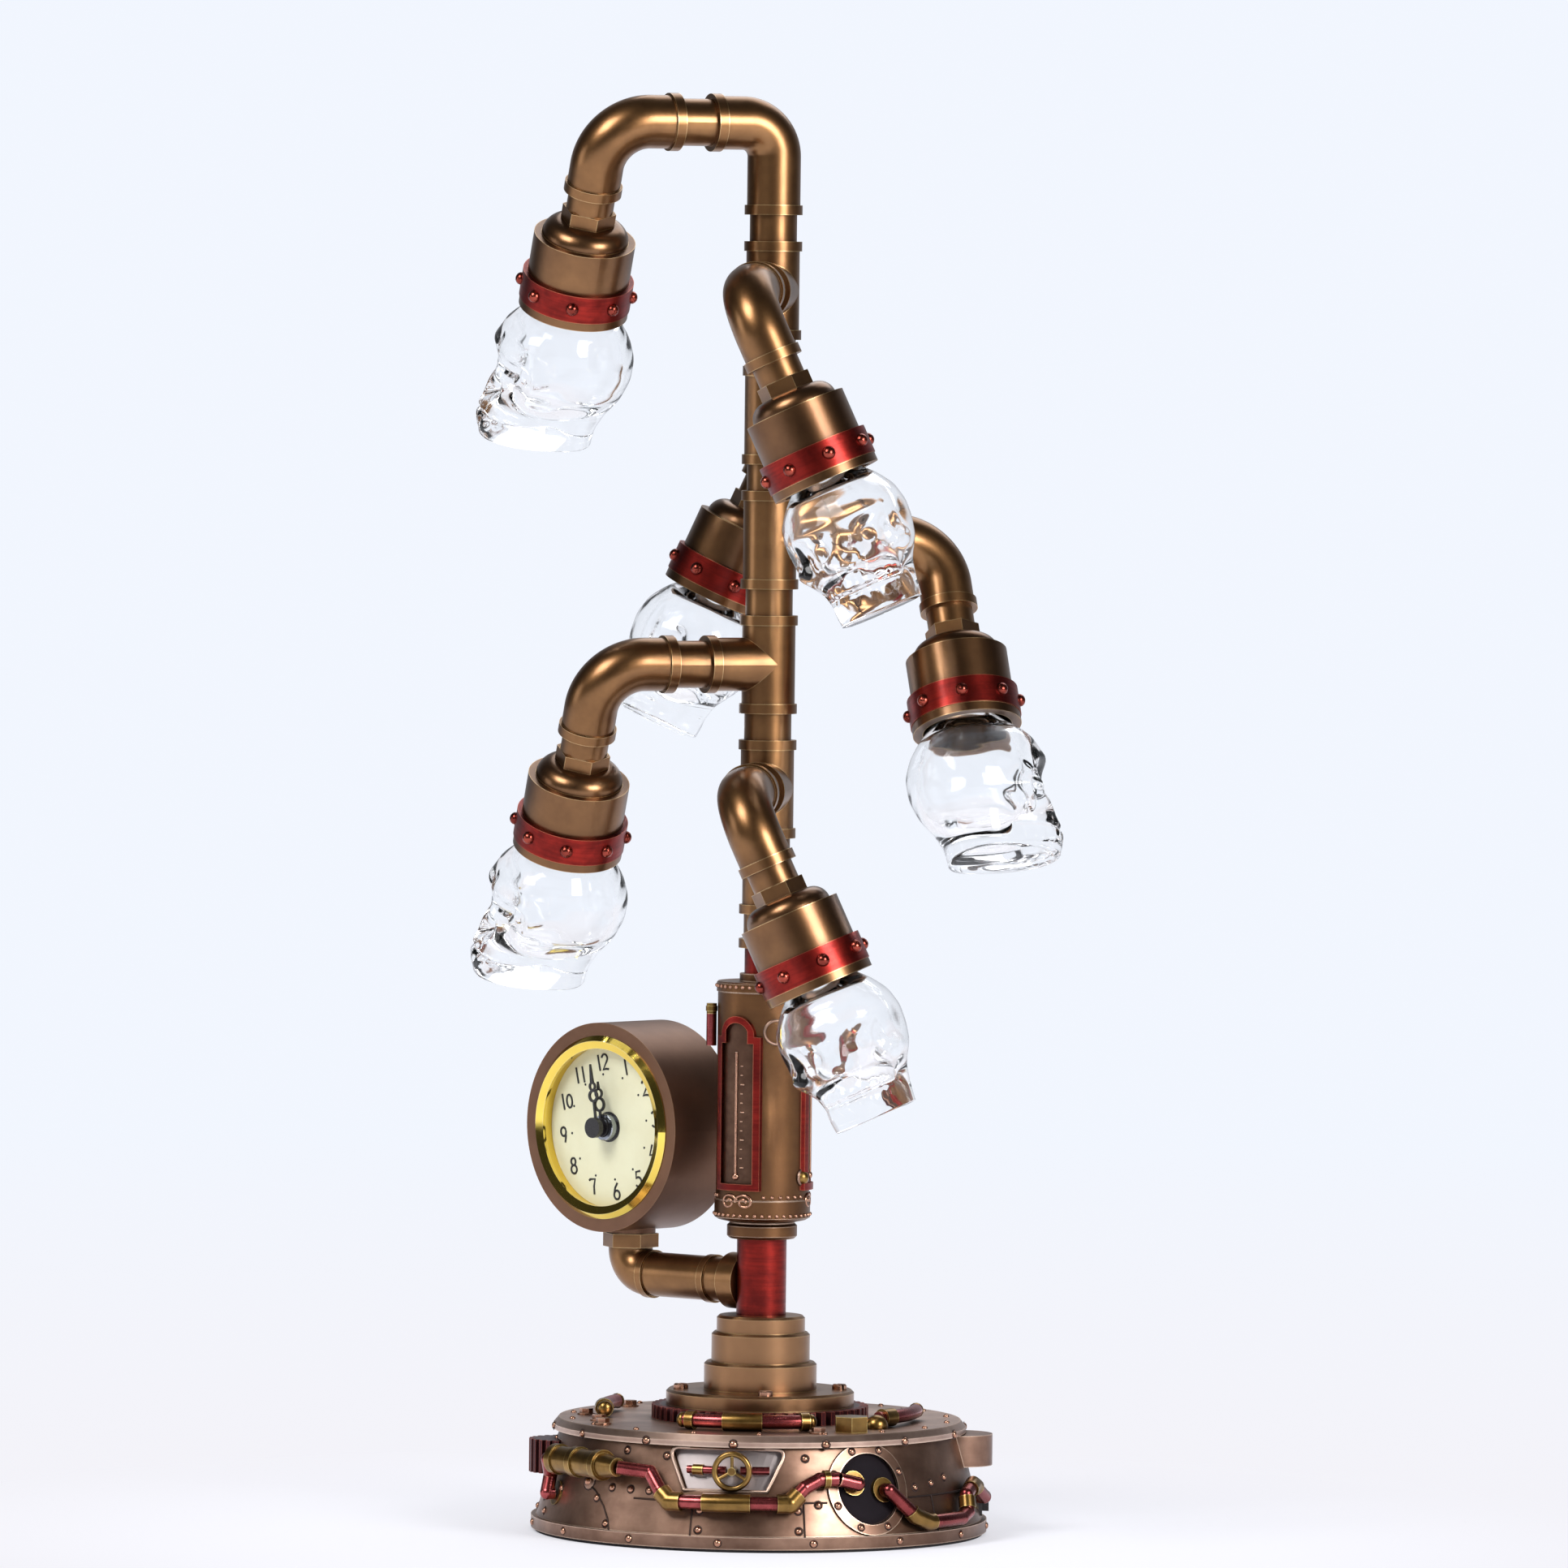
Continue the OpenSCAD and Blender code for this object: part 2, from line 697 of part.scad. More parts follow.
stud_count = 8;
stud_r = 2.2;
stud_h = 1.9;
module arm_band(i) {
    band_r = cup_r + band_t;
    color("#7a2a22") on_arm(i) translate([0, 0, -lip_u]) {
        difference() {
            union() {
                cylinder(h = band_h, r = band_r);
                for (k = [0 : stud_count - 1]) rotate([0, 0, (k + 0.5) * 360 / stud_count])
                    translate([0, -band_r + 0.5, band_h / 2]) rotate([90, 0, 0])
                        cylinder(h = stud_h, r1 = stud_r, r2 = stud_r * 0.55);
            }
            translate([0, 0, -1]) cylinder(h = band_h + 2, r = cup_r + seat);
        }
    }
}

// Glass skull: rings of points from the flat jaw up to the neck in the cup

skull_rings = 23;
skull_sides = 36;
cranium_h = skull_h + 4;
neck_top = skull_u - neck_u;

// Half width, front and back of each level, as shares of half the width and of the depth
width_at = [[0, 0.64], [0.13, 0.68], [0.25, 0.74], [0.38, 0.92], [0.5, 0.98], [0.62, 1], [0.75, 0.93], [0.86, 0.76],
    [0.94, 0.58], [1, 0.42]];
front_at = [[0, 0.51], [0.08, 0.545], [0.18, 0.545], [0.3, 0.505], [0.42, 0.46], [0.55, 0.465], [0.68, 0.47],
    [0.8, 0.42], [0.9, 0.29], [1, 0.18]];
back_at = [[0, 0.255], [0.12, 0.265], [0.24, 0.325], [0.36, 0.405], [0.5, 0.455], [0.64, 0.455], [0.76, 0.41],
    [0.87, 0.335], [0.95, 0.26], [1, 0.18]];

// A soft dent or swelling centred on an angle from the face and a level
function mark(a, v, at_a, at_v, wide, high, size) =
    size * exp(-pow((a - at_a) / wide, 2) - pow((v - at_v) / high, 2));
function both_sides(a, v, at_a, at_v, wide, high, size) = mark(abs(a), v, at_a, at_v, wide, high, size);

function skull_marks(a, v) =
    both_sides(a, v, 27, 0.5, 13, 0.085, -7.5)
    + mark(a, v, 0, 0.345, 8, 0.06, -5)
    + both_sides(a, v, 24, 0.635, 20, 0.05, 1.4)
    + both_sides(a, v, 52, 0.4, 14, 0.06, 2.4)
    + both_sides(a, v, 58, 0.2, 18, 0.08, -3)
    + both_sides(a, v, 66, 0.56, 14, 0.1, -2)
    + mark(a, v, 0, 0.17, 45, 0.018, -1.3);

// Radius of the skull at an angle from the face and a level from 0 at the jaw to 1 at the crown
function skull_r(a, v) = let(
        wide = skull_w / 2 * lookup(v, width_at),
        deep = skull_d * lookup(v, abs(a) < 90 ? front_at : back_at),
        power = 2.25)
    pow(pow(abs(sin(a)) / wide, power) + pow(abs(cos(a)) / deep, power), -1 / power) + skull_marks(a, v);

// More of the points lie on the face than on the back
function skull_angle(k) = let(s = k * 360 / skull_sides - 180) s - 24 * sin(s);

function skull_ring(r_of, z) = [
    for (k = [0 : skull_sides - 1]) let(a = skull_angle(k), r = r_of(a)) [r * sin(a), -r * cos(a), z]
];

module skull_glass() {
    levels = concat(
        [for (j = [0 : skull_rings - 1]) let(v = j / (skull_rings - 1))
            skull_ring(function(a) skull_r(a, v), v * cranium_h)],
        [skull_ring(function(a) neck_r, cranium_h + 3), skull_ring(function(a) neck_r, neck_top)]);
    n = skull_sides;
    last = len(levels) - 1;
    polyhedron(
        points = [for (level = levels) each level],
        faces = concat(
            [[for (k = [0 : n - 1]) k]],
            [[for (k = [n - 1 : -1 : 0]) last * n + k]],
            [for (j = [0 : last - 1], k = [0 : n - 1]) let(m = (k + 1) % n)
                each [[j * n + k, (j + 1) * n + k, (j + 1) * n + m], [j * n + k, (j + 1) * n + m, j * n + m]]]));
}

module arm_skull(i) {
    cavity_r = skull_w / 2 - 2.4 * glass_t;
    color("#c9d6da") on_arm(i) translate([0, 0, -skull_u]) difference() {
        skull_glass();
        translate([0, 2, cranium_h * 0.6]) sphere(r = cavity_r);
        translate([0, 0, cranium_h * 0.7]) cylinder(h = neck_top, r = neck_r - glass_t);
    }
}

// Clock

// The pipe that carries the clock, from a rosette on the red tube to the hex under the case
module clock_bracket() {
    saddle_r = 11;
    ring_r = clock_pipe_r + 0.8;
    ring_w = 3;
    saddle = red_tube_r - 3;
    color("#86683f") rotate([0, 0, clock_heading]) translate([0, 0, clock_pipe_z]) difference() {
        union() {
            translate([0, -saddle, 0]) rotate([90, 0, 0])
                cylinder(h = clock_reach - clock_bend - saddle, r = clock_pipe_r);
            translate([0, -clock_reach, 0]) mirror([0, 0, 1]) quarter_bend(clock_bend, clock_pipe_r);
            translate([0, -saddle, 0]) rotate([90, 0, 0]) cylinder(h = 8, r = saddle_r);
            for (d = [red_tube_r + 16, clock_reach - clock_bend]) translate([0, -d + ring_w, 0])
                rotate([90, 0, 0]) cylinder(h = ring_w, r = ring_r);
            translate([0, -clock_reach, clock_bend])
                cylinder(h = clock_hex_z - clock_pipe_z - clock_bend, r = clock_pipe_r);
            translate([0, -clock_reach, clock_hex_z - clock_pipe_z]) {
                cylinder(h = clock_hex_h, r = hex_r + 0.4, $fn = 6);
                cylinder(h = clock_hex_h + clock_pin_h, r = clock_pin_r);
            }
        }
        translate([0, 0, -past / 2]) cylinder(h = past, r = red_tube_r + seat);
    }
}

// Puts a shape from the clock's own frame, with its face towards -Y, in its place
module on_clock() {
    rotate([0, 0, clock_heading]) translate([0, -clock_reach, clock_z])
        rotate([0, 0, clock_faces - clock_heading]) children();
}

// A disc or ring about the clock's axis, between two depths
module clock_disc(from, to, r) {
    translate([0, from, 0]) rotate([-90, 0, 0]) cylinder(h = to - from, r = r);
}

module clock_case() {
    boss_z = clock_hex_top + run - clock_z;
    boss_h = -boss_z - case_r + 4;
    color("#5e3f2e") on_clock() difference() {
        union() {
            clock_disc(-case_half, case_half, case_r);
            translate([0, 0, boss_z]) cylinder(h = boss_h, r = hex_r - 1);
        }
        clock_disc(-case_half - 1, can_back + 4, can_r + 0.1);
        clock_disc(-case_half - 1, -case_half + bezel_seat + seat, bezel_r + 0.1);
        translate([0, 0, boss_z - 1]) cylinder(h = clock_pin_h + 1 + run, r = clock_pin_r + seat);
    }
}

module clock_bezel() {
    front = case_half + bezel_proud;
    lip = front - bezel_dip - bezel_lip;
    color("#c9a038") on_clock() rotate([90, 0, 0]) rotate_extrude()
        polygon([[can_r - can_t, -can_back], [can_r, -can_back], [can_r, case_half - bezel_seat],
            [bezel_r, case_half - bezel_seat], [bezel_r, front - bezel_bevel], [bezel_r - bezel_bevel, front],
            [dial_r, front - bezel_dip], [dial_r, lip], [can_r - can_t, lip]]);
}

module clock_dial() {
    color("#f4f0d8") on_clock() difference() {
        clock_disc(dial_y, dial_y + dial_t, can_r - can_t - seat);
        clock_disc(dial_y - 1, dial_y + dial_t + 1, bush_r + seat);
    }
}

module clock_movement() {
    body_y = dial_y + dial_t;
    color("#202024") on_clock() {
        clock_disc(body_y, can_back, can_r - 5);
        clock_disc(can_back, can_back + 3, 5);
        clock_disc(dial_y - bush_h, body_y, bush_r);
        clock_disc(hour_y, body_y, hour_post_r);
        clock_disc(minute_y, body_y, minute_post_r);
    }
}

// A pierced hand seen from the front, pointing to +Y, with an eye, a loop and a point
module hand_outline(len, hub_r, bore, loop_at, loop_r) {
    rim = 0.9;
    difference() {
        union() {
            circle(r = hub_r);
            translate([-rim / 2, 0]) square([rim, len * loop_at]);
            translate([0, len * loop_at]) circle(r = loop_r);
            translate([0, len * loop_at + loop_r * 1.5]) circle(r = loop_r * 0.7);
            polygon([[-1.1, len * loop_at + loop_r], [1.1, len * loop_at + loop_r], [0.25, len], [-0.25, len]]);
        }
        circle(r = bore);
        translate([0, len * loop_at]) circle(r = loop_r - rim);
        translate([0, len * loop_at + loop_r * 1.5]) circle(r = loop_r * 0.7 - rim * 0.8);
    }
}

// Stands a flat outline up in the dial's plane, turned clockwise as the dial is read
module hand_plate(y, angle) {
    translate([0, y + hand_t, 0]) rotate([0, angle, 0]) rotate([90, 0, 0]) linear_extrude(height = hand_t) children();
}

module hour_hand() {
    color("#141214") on_clock() hand_plate(hour_y, hour_angle)
        hand_outline(hour_len, 3.6, hour_post_r + seat, 0.5, 2.9);
}

module minute_hand() {
    color("#141214") on_clock() {
        hand_plate(minute_y, minute_angle) hand_outline(minute_len, 3.4, minute_post_r + seat, 0.5, 2.5);
        clock_disc(cap_y, minute_y, hand_cap_r);
    }
}

// Ornament on the base

tubing_out = tubing_r + max(sleeve_t, port_rise) + run;
function on_tubing(heading, z) = wall_point(heading, z, tubing_out);

// A point at a heading, so far to its side, so far out from the column
function beside(heading, side, out, z) =
    side * [cos(heading), sin(heading), 0] + out * [sin(heading), -cos(heading), 0] + [0, 0, z];

// The valve lies along the wall, with a nozzle at its right end
valve_heading = -43.5;
valve_z = 31;
valve_at = wall_r(valve_z) + valve_r + 1;
nozzle_len = 9;
nozzle_end = beside(valve_heading, valve_len / 2 + nozzle_len, valve_at, valve_z);
valve_back = beside(valve_heading, -valve_len / 2, valve_at, valve_z);

// The rosettes where pipes go through the wall, as heading and height
port_in = [35.5, 26];
port_out = [44.5, 23];
side_in = [91, 15.5];
drop_in = [-59.5, 17];
rosette_r = tubing_r + 2;
rosette_h = tubing_out - tubing_r - 0.8;
function into_wall(at) = wall_point(at[0], at[1], rosette_h + wall_slope * tubing_r + 2 * seat);

// Stretches of copper pipe from the valve, along under the niche, and out of the porthole
run_z = 19;
run_from = -14;
run_to = 17;
low_z = 10.2;
low_from = 56;
low_to = 70;
drop_run = [valve_back, beside(valve_heading, -valve_len / 2 - 5, valve_at, valve_z - 0.5), on_tubing(-60.5, 24),
    on_tubing(drop_in[0], drop_in[1]), into_wall(drop_in)];
left_run = [nozzle_end, on_tubing(-20.5, valve_z - 1.5), on_tubing(run_from - 3, run_z + 4),
    on_tubing(run_from, run_z)];
right_run = [on_tubing(run_to, run_z), on_tubing(run_to + 4, run_z + 6), on_tubing(run_to + 8, run_z + 9),
    on_tubing(30, run_z + 9), on_tubing(port_in[0], port_in[1]), into_wall(port_in)];
low_run = [into_wall(port_out), on_tubing(port_out[0], port_out[1]), on_tubing(51.5, 13), on_tubing(low_from, low_z)];
rise_run = [on_tubing(low_to, low_z), on_tubing(74, 12), on_tubing(75.5, 18.5), on_tubing(82, 21.5),
    on_tubing(side_in[0], side_in[1]), into_wall(side_in)];

// A thin pipe across the back of the niche, behind the handwheel
wheel_heading = 2;
wheel_out = 3.4;
wheel_z = (niche_z + deck_z) / 2 - 0.5;
niche_pipe_r = 1.6;
niche_pipe_at = wall_r(wheel_z) - recess_depth + niche_pipe_r + run;
niche_pipe_span = [[-11, wheel_heading - 2], [wheel_heading + 2, 12]];

// A stretch of pipe round the base at one height
module tubing_arc(from, to, z, r, r_in = 0) {
    rotate([0, 0, from - 90]) rotate_extrude(angle = to - from) translate([wall_r(z) + tubing_out, z]) difference() {
        circle(r = r);
        if (r_in > 0) circle(r = r_in);
    }
}

deck_pipe_at = 61;
deck_pipe_z = deck_top + tubing_r + sleeve_t + 0.1;
module deck_arc(from, to, r, r_in = 0) {
    rotate([0, 0, from - 90]) rotate_extrude(angle = to - from) translate([deck_pipe_at, deck_pipe_z]) difference() {
        circle(r = r);
        if (r_in > 0) circle(r = r_in);
    }
}

boiler_pipe_r = 2;
boiler_pipe_heading = -84;
boiler_pipe_at = boiler_r + boiler_pipe_r + 0.4;
boiler_pipe_len = 12.5;
boiler_pipe_top = boiler_top - 13;
boiler_pipe_low = boiler_pipe_top - boiler_pipe_len;

module copper_pipes() {
    color("#b04a40") {
        run_of_pipe(drop_run, tubing_r);
        run_of_pipe(left_run, tubing_r);
        tubing_arc(run_from, run_to, run_z, tubing_r);
        for (end = [left_run[3], right_run[0], low_run[3], rise_run[0]]) translate(end) sphere(r = tubing_r * pipe_ball);
        run_of_pipe(right_run, tubing_r);
        run_of_pipe(low_run, tubing_r);
        tubing_arc(low_from, low_to, low_z, tubing_r);
        run_of_pipe(rise_run, tubing_r);
        for (span = niche_pipe_span) rotate([0, 0, span[0] - 90]) rotate_extrude(angle = span[1] - span[0])
            translate([niche_pipe_at, wheel_z]) circle(r = niche_pipe_r);
        deck_arc(-20, 28, tubing_r);
        deck_arc(58, 96, tubing_r);
        deck_arc(-104, -72, tubing_r);
        rotate([0, 0, boiler_pipe_heading]) translate([0, -boiler_pipe_at, boiler_pipe_low])
            cylinder(h = boiler_pipe_len, r = boiler_pipe_r);
    }
}

// A round boss that a pipe goes into, on the wall or on a surface so far in from it
module rosette(at, depth = 0) {
    intersection() {
        on_wall(at[0], at[1], -depth - rosette_r) rotate([90, 0, 0])
            cylinder(h = depth + 3 * rosette_r, r = rosette_r);
        difference() {
            wall_solid(rosette_h);
            wall_solid(seat - depth);
        }
    }
}

module brass_fittings() {
    clear_r = tubing_r + seat;
    out_r = tubing_r + sleeve_t;
    color("#b08a30") {
        difference() {
            rotate([0, 0, valve_heading]) translate([-valve_len / 2, -valve_at, valve_z]) rotate([0, 90, 0]) {
                cylinder(h = valve_len, r = valve_r - 0.7);
                for (x = [0, 0.42, 0.9]) translate([0, 0, x * valve_len]) cylinder(h = valve_len * 0.1, r = valve_r);
                translate([0, 0, valve_len]) cylinder(h = nozzle_len, r1 = valve_r - 1.2, r2 = tubing_r + sleeve_t);
            }
            run_of_pipe(left_run, clear_r);
            run_of_pipe(drop_run, clear_r);
        }
        rosette(port_in, port_plate_in);
        rosette(port_out, port_plate_in);
        rosette(side_in);
        rosette(drop_in);
        tubing_arc(-5, 7, run_z, out_r, clear_r);
        bend_sleeve(left_run[2], left_run[3], on_tubing(run_from + 3, run_z), clear_r + 0.15, out_r + 0.15);
        bend_sleeve(right_run[1], right_run[0], on_tubing(run_to - 3, run_z), clear_r + 0.15, out_r + 0.15);
        sleeve(right_run[2] * 0.8 + right_run[3] * 0.2, right_run[2] * 0.5 + right_run[3] * 0.5, clear_r, out_r);
        deck_arc(-4, 10, out_r, clear_r);
        deck_arc(24, 27, out_r, clear_r);
        deck_arc(-18, -15, out_r, clear_r);
        deck_arc(60, 66, out_r, clear_r);
        deck_arc(-78, -74, out_r, clear_r);
        rotate([0, 0, 41]) translate([0, -deck_pipe_at - 6, deck_top]) cylinder(h = 6, r = 7, $fn = 6);
        rotate([0, 0, boiler_pipe_heading]) translate([0, -boiler_pipe_at, boiler_pipe_top]) {
            cylinder(h = 4, r = boiler_pipe_r);
            translate([0, 0, 1]) cylinder(h = 2, r = boiler_pipe_r + 0.3);
        }
    }
}

module porthole_ring() {
    color("#866a46") intersection() {
        difference() {
            port_axis(port_r);
            port_axis(port_open_r);
        }
        difference() {
            wall_solid(port_rise);
            wall_solid(seat);
        }
    }
}

module porthole_plate() {
    color("#241820") intersection() {
        port_axis(port_open_r);
        difference() {
            wall_solid(-port_plate_in);
            wall_solid(-recess_depth + seat);
        }
    }
}

module handwheel() {
    hub_r = 1.6;
    stem_len = wheel_out + recess_depth - 0.6;
    color("#b08a30") on_wall(wheel_heading, wheel_z, wheel_out) rotate([90, 0, 0]) {
        rotate_extrude() translate([wheel_r, 0]) circle(r = wheel_bar);
        for (a = [90 : 120 : 330]) rotate([0, 0, a]) rotate([0, 90, 0]) cylinder(h = wheel_r, r = wheel_bar * 0.6);
        translate([0, 0, -stem_len]) cylinder(h = stem_len + wheel_bar, r = hub_r);
    }
}

module side_gear() {
    color("#3a1518") at_side_gear() {
        linear_extrude(height = side_gear_h) gear_outline(side_gear_r, 1.6, 24);
        cylinder(h = side_gear_h + side_pin_h, r = side_pin_r);
    }
}

// Switch, gland and driver

// Puts a shape at the switch, with -Y pointing out of the frame's face
module at_switch() {
    rotate([0, 0, switch_heading]) translate([0, -switch_face, switch_z]) children();
}

rocker_pivot = 2.2;
rocker_room = 0.9;
module switch_housing() {
    color("#1b1718") at_switch() difference() {
        translate([-switch_frame_w / 2, 0, -switch_frame_h / 2]) cube([switch_frame_w, switch_deep, switch_frame_h]);
        translate([-rocker_w / 2 - rocker_room, -1, -rocker_h / 2 - run])
            cube([rocker_w + 2 * rocker_room, switch_deep - 1, rocker_h + 2 * run]);
        translate([0, rocker_pivot, -rocker_h / 2 - 1]) cylinder(h = rocker_h + 2, r = rocker_pin_r + seat);
    }
}

// The rocker stands out at one end and turns on two short pins
module switch_rocker() {
    half = rocker_w / 2;
    color("#262022") at_switch() {
        translate([0, 0, -rocker_h / 2]) linear_extrude(height = rocker_h)
            polygon([[-half, -2.6], [0, -0.9], [half, -0.4], [half - 0.9, 3.4], [-half + 0.9, 3.4]]);
        translate([0, rocker_pivot, -rocker_h / 2 - 0.9]) cylinder(h = rocker_h + 1.8, r = rocker_pin_r);
    }
}

module cord_gland() {
    reach = wall_t + 2;
    color("#1b1718") rotate([0, 0, 180]) translate([0, -gland_seat, gland_z]) rotate([90, 0, 0]) difference() {
        union() {
            cylinder(h = gland_flange_h, r = gland_flange_r);
            translate([0, 0, -reach]) cylinder(h = reach, r = gland_body_r);
        }
        translate([0, 0, -reach - 1]) cylinder(h = reach + gland_flange_h + 2, r = gland_bore_r);
    }
}

// A board on feet with its coil, capacitors, connectors and heat sink
module led_driver() {
    board = [56, 36, 1.6];
    leg = 4;
    top = leg + board[2];
    color("#2c3a34") translate([0, 0, shell_z + floor_t]) {
        for (x = [-1, 1], y = [-1, 1]) translate([x * (board[0] / 2 - 4), y * (board[1] / 2 - 4), 0])
            cylinder(h = leg, r = 2.5);
        translate([-board[0] / 2, -board[1] / 2, leg]) cube(board);
        translate([-8, -10, top]) cube([16, 14, 13]);
        for (y = [-9, 3]) translate([18, y, top]) cylinder(h = 12, r = 5);
        for (x = [-26, 19]) translate([x, 10, top]) cube([7, 7, 8]);
        for (y = [-14 : 3 : 4]) translate([-25, y, top]) cube([12, 1.2, 9]);
    }
}

base_shell();
base_floor();
base_felt();
deck_plate();
deck_gear();
pedestal();
column_tubes();
boiler();
gauge_frames();
riser_fittings();
pipe_nipples();
top_elbow();
clock_bracket();
copper_pipes();
brass_fittings();
porthole_ring();
porthole_plate();
handwheel();
side_gear();
switch_housing();
switch_rocker();
cord_gland();
led_driver();
clock_case();
clock_bezel();
clock_dial();
clock_movement();
hour_hand();
minute_hand();
for (i = [0 : len(arm_names) - 1]) {
    arm_elbow(i);
    arm_socket(i);
    arm_cup(i);
    arm_band(i);
    arm_skull(i);
}
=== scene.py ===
import bpy
import json
import math
import numpy as np
from mathutils import Matrix, Vector


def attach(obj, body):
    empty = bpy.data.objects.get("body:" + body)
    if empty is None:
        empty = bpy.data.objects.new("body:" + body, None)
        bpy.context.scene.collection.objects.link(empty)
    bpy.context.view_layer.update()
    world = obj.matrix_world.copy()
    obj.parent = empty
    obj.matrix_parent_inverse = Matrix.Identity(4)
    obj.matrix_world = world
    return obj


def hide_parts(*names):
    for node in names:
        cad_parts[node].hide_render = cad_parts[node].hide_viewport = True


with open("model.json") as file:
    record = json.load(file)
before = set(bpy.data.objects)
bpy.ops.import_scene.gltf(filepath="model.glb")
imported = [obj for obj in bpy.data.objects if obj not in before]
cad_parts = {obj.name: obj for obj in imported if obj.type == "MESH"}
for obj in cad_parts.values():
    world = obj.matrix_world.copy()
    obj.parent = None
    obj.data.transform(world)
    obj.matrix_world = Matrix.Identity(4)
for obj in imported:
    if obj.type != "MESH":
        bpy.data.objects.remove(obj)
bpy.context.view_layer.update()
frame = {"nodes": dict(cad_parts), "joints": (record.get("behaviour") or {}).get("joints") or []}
mm = 0.001
arms = ["top_arm", "front_upper_arm", "back_arm", "right_arm", "left_arm", "front_lower_arm"]
print("frame loaded:", len(frame["nodes"]), "nodes")


# node wiring: a wire is an output socket, and sums of wires add Math nodes

class Wire:
    def __init__(self, graph, socket):
        self.graph = graph
        self.socket = socket

    def other(self, name):  # another output of the same node
        return Wire(self.graph, self.socket.node.outputs[name])

    def maths(self, operation, a, b, clamp=False):
        return self.graph.add("ShaderNodeMath", {"operation": operation, "use_clamp": clamp}, {0: a, 1: b})

    def __add__(self, other):
        return self.maths("ADD", self, other)

    def __radd__(self, other):
        return self.maths("ADD", other, self)

    def __sub__(self, other):
        return self.maths("SUBTRACT", self, other)

    def __rsub__(self, other):
        return self.maths("SUBTRACT", other, self)

    def __mul__(self, other):
        return self.maths("MULTIPLY", self, other)

    def __rmul__(self, other):
        return self.maths("MULTIPLY", other, self)

    def above(self, edge):
        return self.maths("GREATER_THAN", self, edge)

    def clamped(self):
        return self.maths("ADD", self, 0.0, True)


class Graph:
    def __init__(self, tree):
        self.tree = tree

    def add(self, kind, settings=None, sockets=None, out=0):
        node = self.tree.nodes.new(kind)
        for key, value in (settings or {}).items():
            if key == "stops":
                for i, (place, tone) in enumerate(value):
                    stop = node.color_ramp.elements[i] if i < 2 else node.color_ramp.elements.new(place)
                    stop.position = place
                    stop.color = (tone, tone, tone, 1)
            else:
                setattr(node, key, value)
        for key, value in (sockets or {}).items():
            if isinstance(value, Wire):
                self.tree.links.new(value.socket, node.inputs[key])
            else:
                node.inputs[key].default_value = value
        return Wire(self, node.outputs[out]) if len(node.outputs) else None

    def colourMix(self, amount, a, b):
        first, second = [c if isinstance(c, Wire) else (*c, 1) for c in (a, b)]
        return self.add("ShaderNodeMix", {"data_type": "RGBA"}, {0: amount, 6: first, 7: second}, 2)

    def noise(self, place, scale, detail=3.0, rough=0.55):
        return self.add("ShaderNodeTexNoise", {}, {"Vector": place, "Scale": scale, "Detail": detail,
                                                   "Roughness": rough})

    def ramp(self, value, stops):
        return self.add("ShaderNodeValToRGB", {"stops": stops}, {"Fac": value})

    def bump(self, height, distance, strength=1.0):
        return self.add("ShaderNodeBump", {}, {"Height": height, "Distance": distance, "Strength": strength})


def newFinish(name):
    finish = bpy.data.materials.new(name)
    finish.use_nodes = True
    finish.node_tree.nodes.clear()
    return finish, Graph(finish.node_tree)


def surface(graph, sockets):
    shader = graph.add("ShaderNodeBsdfPrincipled", {}, sockets, "BSDF")
    graph.add("ShaderNodeOutputMaterial", {}, {"Surface": shader})


# finishes

def edgeWear(graph, width):  # 1 where an edge is rubbed bright
    rounded = graph.add("ShaderNodeBevel", {"samples": 4}, {"Radius": width})
    plain = graph.add("ShaderNodeNewGeometry", {}, {}, "Normal")
    same = graph.add("ShaderNodeVectorMath", {"operation": "DOT_PRODUCT"}, {0: rounded, 1: plain}, "Value")
    return ((1 - same) * 7).clamped()


def crevice(graph, reach):  # painted shade: 1 in corners and recesses, where shade falls, standing also for grime in the hollows
    open_ = graph.add("ShaderNodeAmbientOcclusion", {"samples": 4}, {"Distance": reach}, "AO")
    return (1.25 - open_ * 1.35).clamped()


def agedMetal(look, turn=(0, 0, 0), centre=(0, 0, 0)):
    finish, g = newFinish(look["name"])
    place = g.add("ShaderNodeTexCoord", {}, {}, "Object")
    if any(turn) or any(centre):
        place = g.add("ShaderNodeMapping", {"vector_type": "TEXTURE"},
                      {"Vector": place, "Location": centre, "Rotation": turn})
    brushed = g.add("ShaderNodeVectorMath", {"operation": "MULTIPLY"}, {0: place, 1: look["brush"]})
    cloud = g.ramp(g.noise(place, look["cloud"], 4.0, 0.6), [(0.3, 0), (0.7, 1)])
    streak = g.noise(brushed, 1.0, 3.0, 0.65)
    speck = g.noise(place, look["speck"], 2.0, 0.7)
    worn = edgeWear(g, look["edge"])
    grimeAndShade = crevice(g, look["grimeShadeReach"])
    tone = g.colourMix(cloud * look["cloudy"], look["colour"], look["deep"])
    patina = g.ramp(g.noise(place, look["patinaScale"], 5.0, 0.65), [(0.42, 0), (0.62, 1)])
    tone = g.colourMix(patina * look["patina"], tone, look["deep"])
    tone = g.colourMix((streak * 2.0 - 0.7).clamped() * look["streaky"], tone, look["deep"])
    # painted shade: the colour darkens in corners and recesses by ambient occlusion, together with grime in the hollows
    tone = g.colourMix(grimeAndShade * look["grimeShadeAmount"], tone, look["grimeAndShade"])
    tone = g.colourMix(worn * look["rubbed"], tone, look["glint"])
    rough = look["rough"] + (speck - 0.5) * 0.08 + (streak - 0.5) * look["streaky"] * 0.3 + grimeAndShade * 0.12
    grain = g.bump(streak * look["streaky"] + speck * look["pitted"], look["grain"])
    surface(g, {"Base Color": tone, "Roughness": rough.clamped(), "Metallic": look["metal"], "Normal": grain,
                "Coat Weight": look["coat"], "Coat Roughness": 0.2, "Specular IOR Level": 0.5})
    return finish


